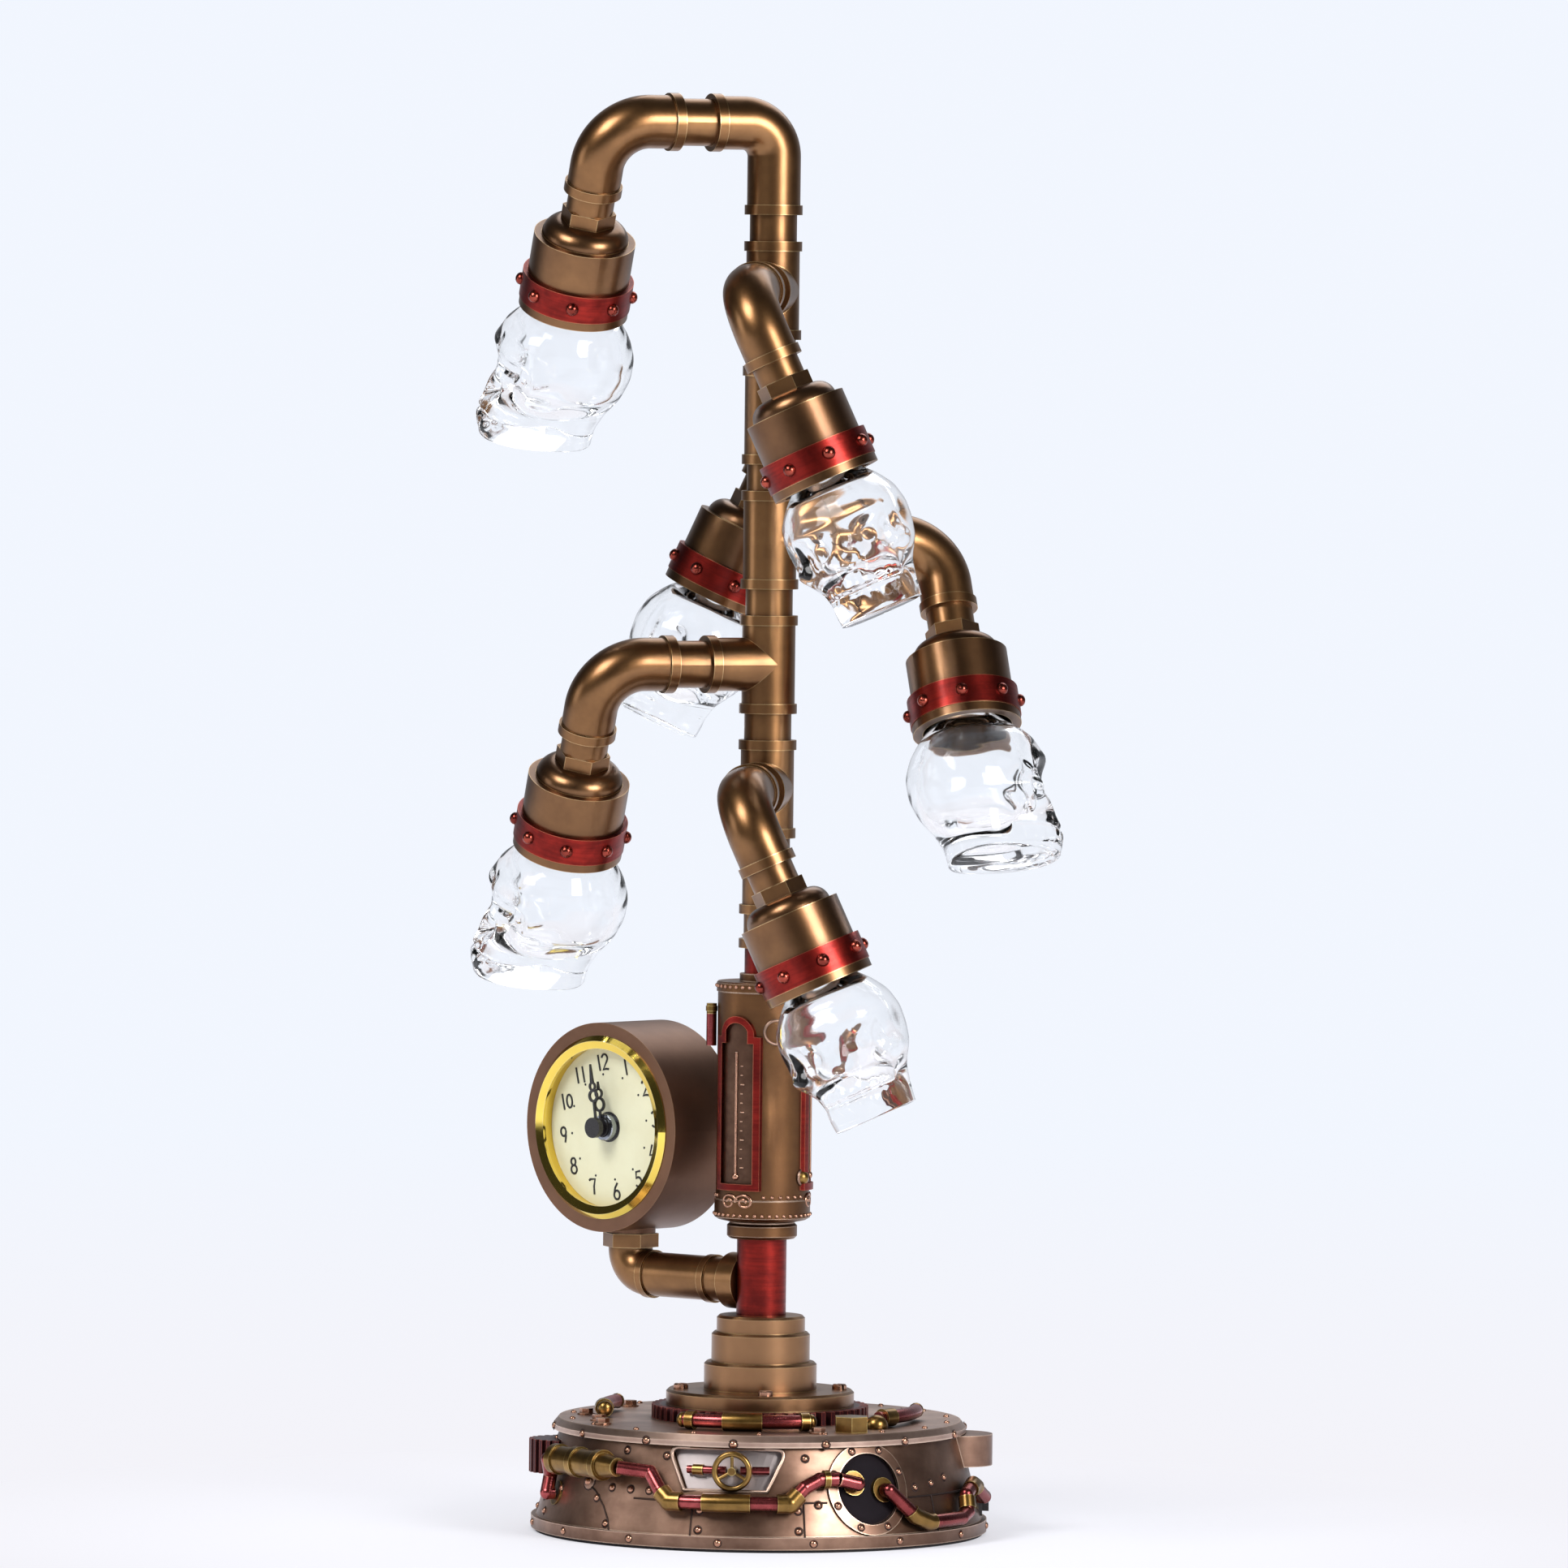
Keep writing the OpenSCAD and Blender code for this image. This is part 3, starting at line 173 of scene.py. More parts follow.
pipeBronze = {"name": "pipe_bronze", "colour": (0.335, 0.168, 0.066), "deep": (0.105, 0.047, 0.019),
              "grimeAndShade": (0.045, 0.022, 0.010), "glint": (0.86, 0.60, 0.30), "rough": 0.32, "metal": 1.0,
              "cloud": 26.0, "cloudy": 0.45, "patina": 0.55, "patinaScale": 18.0, "speck": 900.0,
              "pitted": 0.08, "brush": (90, 90, 90), "streaky": 0.15,
              "edge": 0.0005, "rubbed": 0.75, "grimeShadeReach": 0.004, "grimeShadeAmount": 0.8, "grain": 0.00003, "coat": 0.25}
# painted shade: a darker copy of pipe_bronze for the cups, whose sides take less light than the pipes
cupShadedBronze = {**pipeBronze, "name": "cup_bronze_painted_shade", "colour": (0.265, 0.133, 0.056), "deep": (0.085, 0.038, 0.019),
             "rough": 0.30}
baseBronze = {**pipeBronze, "name": "base_bronze", "colour": (0.54, 0.33, 0.235), "deep": (0.13, 0.066, 0.044),
              "glint": (0.95, 0.72, 0.56), "rough": 0.36, "cloud": 45.0, "cloudy": 0.75, "patina": 0.6, "grimeShadeAmount": 1.0,
              "grimeShadeReach": 0.009, "streaky": 0.3, "brush": (60, 60, 260), "grain": 0.00006, "edge": 0.0007,
              "coat": 0.12}
# painted highlight: a lighter copy of base_bronze for the deck plate and the niche's edge, standing for the bright
# light on the rim; its wider rubbed edges are partly wear and partly painted highlight
deckHighlitBronze = {**baseBronze, "name": "deck_bronze_painted_highlight", "colour": (0.80, 0.58, 0.47), "deep": (0.28, 0.165, 0.125),
              "rubbed": 1.0, "edge": 0.0012}
# painted reflection: a pale, bluish copy of the deck bronze for the niche's back, standing for the sheen reflected
# there
nicheReflectionBronze = {**deckHighlitBronze, "name": "pale_bronze_painted_reflection", "colour": (0.80, 0.71, 0.70), "rough": 0.34, "cloudy": 0.3,
              "grimeShadeReach": 0.002, "grimeShadeAmount": 0.2, "patina": 0.12, "streaky": 0.1}
stepBronze = {**pipeBronze, "name": "step_bronze", "colour": (0.37, 0.195, 0.095), "deep": (0.20, 0.11, 0.056),
              "rough": 0.30, "edge": 0.0006, "grimeShadeReach": 0.005, "coat": 0.1}
plateBronze = {**baseBronze, "name": "plate_bronze", "colour": (0.17, 0.092, 0.060), "deep": (0.075, 0.038, 0.024),
               "rough": 0.45, "cloud": 260.0, "grain": 0.00012, "pitted": 0.5, "speck": 700.0}
boilerBronze = {**baseBronze, "name": "boiler_bronze", "colour": (0.26, 0.125, 0.050), "deep": (0.12, 0.056, 0.027),
                "rough": 0.35, "cloudy": 0.8, "grimeShadeReach": 0.005, "coat": 0.06}
redCopper = {**pipeBronze, "name": "red_copper", "colour": (0.38, 0.026, 0.018), "deep": (0.085, 0.008, 0.007),
             "grimeAndShade": (0.03, 0.006, 0.005), "glint": (0.72, 0.22, 0.12), "rough": 0.34, "cloud": 60.0, "cloudy": 0.45,
             "brush": (70, 70, 900), "streaky": 0.75, "grain": 0.00005, "coat": 0.12, "patina": 0.6,
             "patinaScale": 70.0}
pinkCopper = {**pipeBronze, "name": "pink_copper", "colour": (0.52, 0.105, 0.108), "deep": (0.13, 0.018, 0.018),
              "grimeAndShade": (0.06, 0.014, 0.010), "glint": (0.85, 0.42, 0.28), "rough": 0.28, "cloud": 130.0, "cloudy": 0.75,
              "grimeShadeAmount": 0.95, "coat": 0.15}
oldBrass = {**pipeBronze, "name": "old_brass", "colour": (0.43, 0.245, 0.066), "deep": (0.13, 0.070, 0.016),
            "grimeAndShade": (0.05, 0.03, 0.008), "glint": (0.95, 0.74, 0.28), "rough": 0.31, "cloud": 140.0, "cloudy": 0.8,
            "grimeShadeAmount": 0.95}
maroonIron = {**pipeBronze, "name": "maroon_iron", "colour": (0.085, 0.014, 0.017), "deep": (0.035, 0.007, 0.009),
              "grimeAndShade": (0.010, 0.003, 0.004), "glint": (0.42, 0.10, 0.07), "rough": 0.45, "metal": 0.75, "rubbed": 0.9,
              "edge": 0.0004}
darkPlate = {**maroonIron, "name": "dark_plate", "colour": (0.012, 0.007, 0.011), "deep": (0.007, 0.004, 0.007),
             "glint": (0.10, 0.06, 0.05), "rough": 0.7, "metal": 0.7, "coat": 0.0}
brownCase = {**pipeBronze, "name": "brown_case", "colour": (0.225, 0.118, 0.072), "deep": (0.14, 0.070, 0.043),
             "grimeAndShade": (0.05, 0.022, 0.014), "glint": (0.45, 0.27, 0.15), "rough": 0.42, "metal": 0.9, "speck": 2600.0,
             "rubbed": 0.5, "grimeShadeAmount": 0.3, "coat": 0.05}
rivetMetal = {**pipeBronze, "name": "rivet_metal", "colour": (0.62, 0.33, 0.22), "deep": (0.34, 0.15, 0.09),
              "glint": (0.95, 0.7, 0.5), "rough": 0.28, "cloud": 300.0, "grimeShadeReach": 0.0015, "grimeShadeAmount": 0.6}
bandStud = {**redCopper, "name": "band_stud", "colour": (0.46, 0.085, 0.055), "rough": 0.26, "streaky": 0.2,
            "brush": (200, 200, 200)}
blackenedLine = {**darkPlate, "name": "blackened_line", "colour": (0.065, 0.037, 0.024), "rough": 0.55}
polishedGold = {**oldBrass, "name": "polished_gold", "colour": (0.92, 0.68, 0.13), "deep": (0.80, 0.55, 0.09),
                "grimeAndShade": (0.35, 0.22, 0.04), "glint": (1.0, 0.88, 0.45), "rough": 0.10, "cloudy": 0.25, "grimeShadeAmount": 0.25,
                "streaky": 0.06, "grain": 0.00001, "coat": 0.0}
steelBush = {**polishedGold, "name": "steel_bush", "colour": (0.34, 0.37, 0.41), "deep": (0.24, 0.26, 0.30),
             "grimeAndShade": (0.08, 0.08, 0.09), "glint": (0.8, 0.82, 0.85), "rough": 0.22}


def plainFinish(look):  # plastics, paint and felt: colour with a fine mottle
    finish, g = newFinish(look["name"])
    place = g.add("ShaderNodeTexCoord", {}, {}, "Object")
    mottle = g.noise(place, look["mottle"], 4.0, 0.65)
    tone = g.colourMix(g.ramp(mottle, [(0.35, 0), (0.65, 1)]) * look["vary"], look["colour"], look["deep"])
    rough = (look["rough"] + (mottle - 0.5) * 0.2).clamped()
    surface(g, {"Base Color": tone, "Roughness": rough, "Normal": g.bump(mottle, look["grain"])})
    return finish


blackPlastic = {"name": "black_plastic", "colour": (0.018, 0.015, 0.016), "deep": (0.03, 0.026, 0.027), "rough": 0.42,
                "mottle": 1800.0, "vary": 0.6, "grain": 0.00004}
blackPaint = {**blackPlastic, "name": "black_paint", "colour": (0.010, 0.009, 0.010), "rough": 0.3}
creamDial = {**blackPlastic, "name": "cream_dial", "colour": (0.74, 0.72, 0.50), "deep": (0.68, 0.64, 0.42),
             "rough": 0.55, "mottle": 60.0, "vary": 0.5, "grain": 0.00001}
darkInk = {**blackPlastic, "name": "dark_ink", "colour": (0.015, 0.016, 0.018), "rough": 0.6}
boardGreen = {**blackPlastic, "name": "board_green", "colour": (0.02, 0.10, 0.055), "deep": (0.03, 0.07, 0.04)}
baseFelt = {**blackPlastic, "name": "base_felt", "colour": (0.02, 0.018, 0.02), "deep": (0.045, 0.04, 0.042),
            "rough": 0.95, "mottle": 2600.0, "vary": 0.9, "grain": 0.0003}
skullGlass = {"name": "skull_glass", "colour": (0.99, 0.995, 1.0), "rough": 0.07, "bend": 1.33, "wave": 90.0,
              "waveDeep": 0.0003, "waveShare": 0.2}


def clearGlass(look):
    finish, g = newFinish(look["name"])
    place = g.add("ShaderNodeTexCoord", {}, {}, "Object")
    ripple = g.bump(g.noise(place, look["wave"], 1.0), look["waveDeep"], look["waveShare"])  # as moulded glass has
    surface(g, {"Base Color": (*look["colour"], 1), "Roughness": look["rough"], "IOR": look["bend"],
                "Transmission Weight": 1.0, "Normal": ripple})
    return finish


finishes = {look["name"]: agedMetal(look) for look in (
    pipeBronze, cupShadedBronze, baseBronze, deckHighlitBronze, nicheReflectionBronze, stepBronze, plateBronze, boilerBronze, redCopper,
    pinkCopper, oldBrass, maroonIron, darkPlate, brownCase, rivetMetal, blackenedLine, polishedGold, steelBush)}
finishes.update({look["name"]: plainFinish(look) for look in (
    blackPlastic, blackPaint, creamDial, darkInk, boardGreen, baseFelt)})
finishes["skull_glass"] = clearGlass(skullGlass)
nodeFinish = {
    "base_shell": "base_bronze", "base_floor": "dark_plate", "base_felt": "base_felt", "deck_plate": "deck_bronze_painted_highlight",
    "deck_gear": "maroon_iron", "pedestal": "step_bronze", "column_tubes": "red_copper", "boiler": "boiler_bronze",
    "gauge_frames": "red_copper", "riser_fittings": "pipe_bronze", "pipe_nipples": "pipe_bronze",
    "top_elbow": "pipe_bronze", "clock_bracket": "pipe_bronze", "copper_pipes": "pink_copper",
    "brass_fittings": "old_brass", "porthole_ring": "base_bronze", "porthole_plate": "dark_plate",
    "handwheel": "old_brass", "side_gear": "maroon_iron", "switch_housing": "black_plastic",
    "switch_rocker": "black_plastic", "cord_gland": "black_plastic", "led_driver": "board_green",
    "clock_case": "brown_case", "clock_bezel": "polished_gold", "clock_dial": "cream_dial",
    "clock_movement": "black_plastic", "hour_hand": "black_paint", "minute_hand": "black_paint"}


def dress(node, finish):
    frame["nodes"][node].data.materials.clear()
    frame["nodes"][node].data.materials.append(finish)


for name, finish in nodeFinish.items():
    dress(name, finishes[finish])
print("finishes:", len(finishes))


# where things are on the lamp

lampArm = {"reach": 70.5, "lean": 24.5, "sides": [1, -1, -1, 1, 1, -1]}
armJoint = {j["child"]: j for j in frame["joints"]}


def armPlace(arm):  # an arm's own frame: the elbow at the origin, the leg along -Z
    joint = armJoint[arm]
    heading = math.atan2(joint["axis"][0], -joint["axis"][1])
    lean = math.radians(lampArm["lean"]) * lampArm["sides"][arms.index(arm)]
    return (Matrix.Translation(joint["pos_m"]) @ Matrix.Rotation(heading, 4, "Z")
            @ Matrix.Translation((0, -lampArm["reach"] * mm, 0)) @ Matrix.Rotation(lean, 4, "Y"))


for arm in arms:
    turn = armPlace(arm).to_euler()
    band = agedMetal({**redCopper, "name": arm + "_band_copper"}, tuple(turn), tuple(armPlace(arm).translation))
    for piece, finish in (("elbow", finishes["pipe_bronze"]), ("socket", finishes["pipe_bronze"]),
                          ("cup", finishes["cup_bronze_painted_shade"]), ("band", band), ("skull", finishes["skull_glass"])):
        dress(arm + "_" + piece, finish)


# shapes that repeat

def newTree(name, inputs):
    tree = bpy.data.node_groups.new(name, "GeometryNodeTree")
    tree.interface.new_socket(name="Geometry", in_out="INPUT", socket_type="NodeSocketGeometry")
    for label, kind in inputs.items():
        tree.interface.new_socket(name=label, in_out="INPUT", socket_type="NodeSocket" + kind)
    tree.interface.new_socket(name="Geometry", in_out="OUTPUT", socket_type="NodeSocketGeometry")
    graph = Graph(tree)
    return tree, graph, graph.add("NodeGroupInput", {}, {}, "Geometry")


def closeTree(graph, given, shape, smooth=True):
    whole = graph.add("GeometryNodeRealizeInstances", {}, {"Geometry": shape})
    if smooth:
        whole = graph.add("GeometryNodeSetShadeSmooth", {}, {"Geometry": whole})
    dressed = graph.add("GeometryNodeSetMaterial", {}, {"Geometry": whole, "Material": given.other("Finish")})
    graph.add("NodeGroupOutput", {}, {"Geometry": dressed})


def onPoints(graph, given, shape):  # the shape on every point, standing along its aim
    aim = graph.add("GeometryNodeInputNamedAttribute", {"data_type": "FLOAT_VECTOR"}, {"Name": "aim"})
    turn = graph.add("FunctionNodeAlignRotationToVector", {"axis": "Z"}, {"Vector": aim})
    return graph.add("GeometryNodeInstanceOnPoints", {}, {"Points": given, "Instance": shape, "Rotation": turn})


def studTree():  # a domed rivet on every point
    tree, g, given = newTree("domed_studs", {"Radius": "Float", "Rise": "Float", "Finish": "Material"})
    ball = g.add("GeometryNodeMeshUVSphere", {}, {"Segments": 14, "Rings": 8, "Radius": 1.0})
    stretch = g.add("ShaderNodeCombineXYZ", {}, {"X": given.other("Radius"), "Y": given.other("Radius"),
                                                 "Z": given.other("Rise")})
    dome = g.add("GeometryNodeTransform", {}, {"Geometry": ball, "Scale": stretch})
    closeTree(g, given, onPoints(g, given, dome))
    return tree


def barTree():  # a round bar along every line of the mesh
    tree, g, given = newTree("round_bars", {"Radius": "Float", "Sides": "Int", "Finish": "Material"})
    line = g.add("GeometryNodeMeshToCurve", {}, {"Mesh": given})
    ring = g.add("GeometryNodeCurvePrimitiveCircle", {}, {"Resolution": given.other("Sides"),
                                                          "Radius": given.other("Radius")})
    bar = g.add("GeometryNodeCurveToMesh", {}, {"Curve": line, "Profile Curve": ring, "Fill Caps": True})
    closeTree(g, given, bar)
    return tree


def boltTree():  # a hex head on a washer at every point
    tree, g, given = newTree("hex_bolts", {"Radius": "Float", "Rise": "Float", "Finish": "Material"})
    radius, rise = given.other("Radius"), given.other("Rise")
    head = g.add("GeometryNodeMeshCylinder", {}, {"Vertices": 6, "Radius": radius, "Depth": rise * 2})
    washer = g.add("GeometryNodeMeshCylinder", {}, {"Vertices": 20, "Radius": radius * 1.3, "Depth": rise * 0.5})
    both = g.add("GeometryNodeJoinGeometry", {}, {"Geometry": head})
    g.tree.links.new(washer.socket, both.socket.node.inputs[0])
    closeTree(g, given, onPoints(g, given, both), smooth=False)
    return tree


trees = {"stud": studTree(), "bar": barTree(), "bolt": boltTree()}


def growNodes(name, mesh, tree, inputs):  # runs a tree on a mesh and keeps the result as a plain mesh
    source = bpy.data.objects.new(name + "_source", mesh)
    bpy.context.scene.collection.objects.link(source)
    modifier = source.modifiers.new("shape", "NODES")
    modifier.node_group = trees[tree]
    for item in trees[tree].interface.items_tree:
        if item.in_out == "INPUT" and item.name in inputs:
            modifier[item.identifier] = inputs[item.name]
    graph = bpy.context.evaluated_depsgraph_get()
    plain = bpy.data.meshes.new_from_object(source.evaluated_get(graph))
    bpy.data.objects.remove(source)
    plain.name = name
    piece = bpy.data.objects.new(name, plain)
    bpy.context.scene.collection.objects.link(piece)
    return piece


def keep(piece, body):
    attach(piece, body)
    return piece


def plainPiece(name, verts, faces, finish, body):
    mesh = bpy.data.meshes.new(name)
    mesh.from_pydata(verts, [], faces)
    mesh.materials.append(finishes[finish])
    piece = bpy.data.objects.new(name, mesh)
    bpy.context.scene.collection.objects.link(piece)
    return keep(piece, body)


ringRise = 0.18  # mm, of the dark ring round a rivet


def studs(name, spots, look, finish="rivet_metal", body="stand", slot="bronze", tree="stud"):  # spots: place, aim
    if look.get("ring"):
        studs(name + "_rings", spots, {"r": look["r"] + look["ring"], "rise": ringRise}, "blackened_line", body, slot)
    mesh = bpy.data.meshes.new(name + "_points")
    mesh.from_pydata([p for p, _ in spots], [], [])
    mesh.attributes.new("aim", "FLOAT_VECTOR", "POINT").data.foreach_set(
        "vector", np.array([tuple(a) for _, a in spots], np.float32).ravel())
    inputs = {"Radius": look["r"] * mm, "Rise": look["rise"] * mm, "Finish": finishes[finish]}
    return keep(growNodes(name, mesh, tree, inputs), body)


def bars(name, lines, look, finish, body="stand"):  # lines are lists of points in metres
    places, links = [], []
    for line in lines:
        links += [(len(places) + i, len(places) + i + 1) for i in range(len(line) - 1)]
        places += [tuple(p) for p in line]
    mesh = bpy.data.meshes.new(name + "_lines")
    mesh.from_pydata(places, links, [])
    inputs = {"Radius": look["r"] * mm, "Sides": look["sides"], "Finish": finishes[finish]}
    return keep(growNodes(name, mesh, "bar", inputs), body)


# base: rivets, seams, the niche, brass sleeves, screws and bolts, in mm

base = {"footR": 89, "footZ": 3.6, "wallLowR": 87, "wallTopR": 78, "wallZ": 6.0, "deckZ": 39.7, "deckTop": 44.3,
        "deckR": 80.5, "portHeading": 40, "portZ": 23.6, "portRivetR": 15.5, "portRise": 1.2}
wallSlope = (base["wallLowR"] - base["wallTopR"]) / (base["deckZ"] - base["wallZ"])
up = Vector((0, 0, 1))


def wallR(z):
    return base["wallLowR"] - wallSlope * (z - base["wallZ"])


def outward(heading):
    a = math.radians(heading)
    return Vector((math.sin(a), -math.cos(a), 0))


def around(heading, radius, z):  # a place in metres, from a heading, a radius and a height
    return (outward(heading) * radius + up * z) * mm


def onWall(heading, z, out=0.0):
    return around(heading, wallR(z) + out, z)


def wallSpot(heading, z, out=0.0):
    return onWall(heading, z, out), (outward(heading) + up * wallSlope).normalized()


def onDeck(heading, radius, lift=0.0):
    return around(heading, radius, base["deckTop"] + lift)


def ringSpots(row):  # evenly round the lamp
    spots = []
    for i in range(row["count"]):
        heading = row["first"] + i * 360 / row["count"]
        aim = outward(heading) * row["aimOut"] + up * row["aimUp"]
        spots.append((around(heading, row["at"], row["z"]), aim.normalized()))
    return spots


rivetRows = {
    "foot_rivets": {"count": 15, "first": -1, "at": base["footR"] - 0.1, "z": base["footZ"], "aimUp": 0, "aimOut": 1,
                    "r": 1.4, "rise": 1.0, "ring": 0.5},
    "deck_rim_rivets": {"count": 14, "first": 2, "at": base["deckR"] - 0.05, "z": 41.0, "aimUp": 0.1, "aimOut": 1,
                        "r": 1.5, "rise": 1.0, "ring": 0.5},
    "deck_rivets": {"count": 18, "first": 9, "at": 74, "z": base["deckTop"], "aimUp": 1, "aimOut": 0,
                    "r": 1.2, "rise": 0.9}}
for name, row in rivetRows.items():
    studs(name, ringSpots(row), row)
panelRivets = {"r": 1.3, "rise": 1.0, "ring": 0.55, "backHeadings": range(112, 290, 12), "backRows": (9, 22, 35.5),
               "glandHeading": 180, "glandHalf": 8, "glandTop": 25,
               "front": [(-34, 22), (-27.5, 22), (-21.5, 22), (56, 23), (63, 24), (70, 25.5), (-34, 8.2), (-6.5, 8.2),
                         (-6.5, 15.5), (19.5, 8.2), (19.5, 15.8), (25, 18), (-66, 9), (-57, 19), (-39, 17.5),
                         (-31, 36.5), (-17.5, 35.5), (22, 35.5), (56, 9), (-70, 14)]}
backRivets = [(h, z) for h in panelRivets["backHeadings"] for z in panelRivets["backRows"]
              if abs(h - panelRivets["glandHeading"]) > panelRivets["glandHalf"] or z > panelRivets["glandTop"]]
studs("panel_rivets", [wallSpot(h, z) for h, z in panelRivets["front"] + backRivets], panelRivets)
portRivets = {"count": 8, "r": 1.3, "rise": 1.0, "ring": 0.4}
portSpots = []
for i in range(portRivets["count"]):
    a = math.radians((i + 0.5) * 360 / portRivets["count"])
    z = base["portZ"] + base["portRivetR"] * math.sin(a)
    aside = math.degrees(math.asin(base["portRivetR"] * math.cos(a) / wallR(z)))
    portSpots.append(wallSpot(base["portHeading"] + aside, z, base["portRise"]))
studs("porthole_rivets", portSpots, portRivets)
valveBolt = {"heading": -43.5, "z": 23.2, "r": 1.7, "rise": 1.9}
valveWasher = {"r": 3.1, "rise": 0.9, "ring": 0.5}
valveSpot = [wallSpot(valveBolt["heading"], valveBolt["z"])]
studs("valve_bolt_washer", valveSpot, valveWasher, "base_bronze")
studs("valve_bolt", valveSpot, valveBolt)
print("base rivets done")


def wallLine(points, out, step=2.0):  # a line on the wall through (heading, height) points
    line = []
    for (h0, z0), (h1, z1) in zip(points, points[1:]):
        n = max(1, int(max(abs(h1 - h0), abs(z1 - z0)) / step))
        line += [onWall(h0 + (h1 - h0) * i / n, z0 + (z1 - z0) * i / n, out) for i in range(n)]
    return line + [onWall(*points[-1], out)]


seams = {"r": 0.42, "sink": 0.05, "sides": 6, "runs": [
    [(-8.5, 6), (-8.5, 18.6)], [(21, 6), (21, 18.6)], [(-26, 18.8), (27.5, 18.8)], [(53, 19.5), (88, 19.5)],
    [(-45, 23), (-40, 20), (-36, 15), (-33.5, 10), (-32.5, 6)], [(-88, 19), (-64, 19)], [(62, 6), (62, 19.4)],
    [(112, 19), (172, 19)], [(188, 19), (270, 19)], [(140, 6), (140, 19)], [(220, 6), (220, 19)],
    [(130, 19), (130, 39)], [(238, 19), (238, 39)]]}
bars("panel_seams", [wallLine(run, -seams["sink"]) for run in seams["runs"]], seams, "blackened_line")

niche = {"low": 23, "lowHalf": 16.2, "topHalf": 23.5, "lintel": 0.7, "corner": 5.0, "points": 10, "fillOut": 0.12,
         "fillPast": 0.4, "lintelLap": (0.1, 0.2), "lintelPoints": 21, "plateIn": 2.5, "plateSide": 0.6,
         "plateEnd": 0.3, "plateRows": 7, "plateCols": 15}
nicheEdge = {"r": 0.75, "out": 0.15, "sides": 12}
nicheTop = base["deckZ"] - niche["lintel"]
nicheSlope = (niche["topHalf"] - niche["lowHalf"]) / (base["deckZ"] - niche["low"])


def nicheHalf(z):  # half the niche's width at a height
    return niche["lowHalf"] + nicheSlope * (z - niche["low"])


def nichePoint(x, z, out):  # x runs along the wall from the niche's middle
    return tuple(onWall(math.degrees(math.asin(x / wallR(z))), z, out))


def nicheSide():  # up the right side and round its top corner
    r, n = niche["corner"], niche["points"]
    side = [(nicheHalf(z), z) for z in np.linspace(niche["low"], nicheTop - r, n)]
    x, z = side[-1]
    start, middle = Vector((x, z)), Vector((x + nicheSlope * r, nicheTop))
    last = Vector((x + nicheSlope * r - r, nicheTop))
    for t in np.linspace(1 / n, 1, n):
        side.append(tuple(start * (1 - t) ** 2 + middle * 2 * t * (1 - t) + last * t * t))
    return side


def gridFaces(rows, cols, start=0):
    return [tuple(start + k for k in (j * cols + i, j * cols + i + 1, (j + 1) * cols + i + 1, (j + 1) * cols + i))
            for j in range(rows - 1) for i in range(cols - 1)]


def nicheFill():  # the wall in the two top corners and over the top edge
    verts, faces = [], []
    corner = nicheSide()[niche["points"] - 1:]
    out, past, cols = niche["fillOut"], niche["fillPast"], niche["lintelPoints"]
    for side in (-1, 1):
        start = len(verts)
        for x, z in corner:
            verts += [nichePoint(side * x, z, out), nichePoint(side * (nicheHalf(z) + past), z, out)]
        for i in range(len(corner) - 1):
            quad = [start + 2 * i, start + 2 * i + 1, start + 2 * i + 3, start + 2 * i + 2]
            faces.append(quad if side > 0 else quad[::-1])
    faces += gridFaces(2, cols, len(verts))
    for z in (nicheTop - niche["lintelLap"][0], base["deckZ"] + niche["lintelLap"][1]):
        verts += [nichePoint(x * (nicheHalf(z) + past), z, out) for x in np.linspace(-1, 1, cols)]
    return plainPiece("niche_corners", verts, faces, "base_bronze", "stand")


def nichePlate():  # painted reflection: a brighter sheet on the niche's back, standing for the sheen reflected there
    rows, cols = niche["plateRows"], niche["plateCols"]
    heights = np.linspace(niche["low"] + niche["plateEnd"], base["deckZ"] - niche["plateEnd"], rows)
    verts = [nichePoint(x * (nicheHalf(z) - niche["plateSide"]), z, -niche["plateIn"])
             for z in heights for x in np.linspace(-1, 1, cols)]
    return plainPiece("niche_reflection_plate", verts, gridFaces(rows, cols), "pale_bronze_painted_reflection", "stand")


nicheOutline = [(-x, z) for x, z in nicheSide()] + nicheSide()[::-1]
# the niche's raised edge, in the lighter deck bronze as a painted highlight along it
border = [nichePoint(x, z, nicheEdge["out"]) for x, z in nicheOutline]
bars("niche_border_highlight", [border + border[:1]], nicheEdge, "deck_bronze_painted_highlight")
nicheFill()
nichePlate()

# brass sleeves on the bends of the right-hand pipe and on the niche's thin pipe
bendSleeves = {"r": 3.3, "out": 4.2, "sides": 20, "runs": [
    [(50.6, 14.6), (51.5, 13), (56, 10.2), (57.6, 10.2)], [(74.3, 13.3), (75.3, 17.4)],
    [(79.2, 20.1), (82, 21.5), (84.2, 20.1)]]}
bars("bend_sleeves", [[onWall(h, z, bendSleeves["out"]) for h, z in run] for run in bendSleeves["runs"]],
     bendSleeves, "old_brass")
coupling = {"r": 2.15, "out": -0.7, "z": 30.85, "from": -9.3, "to": -6.4, "points": 5, "sides": 16}
bars("niche_coupling", [[onWall(h, coupling["z"], coupling["out"])
                         for h in np.linspace(coupling["from"], coupling["to"], coupling["points"])]],
     coupling, "old_brass")

flangeScrew = {"at": 31, "z": 55.5, "r": 2.9, "rise": 2.0, "sink": 0.2, "bevelFrom": 0.7, "bevelTo": 0.82, "slot": 1.0,
               "slotTurn": 25, "steps": 10, "headings": [13, 103, 193, 283]}


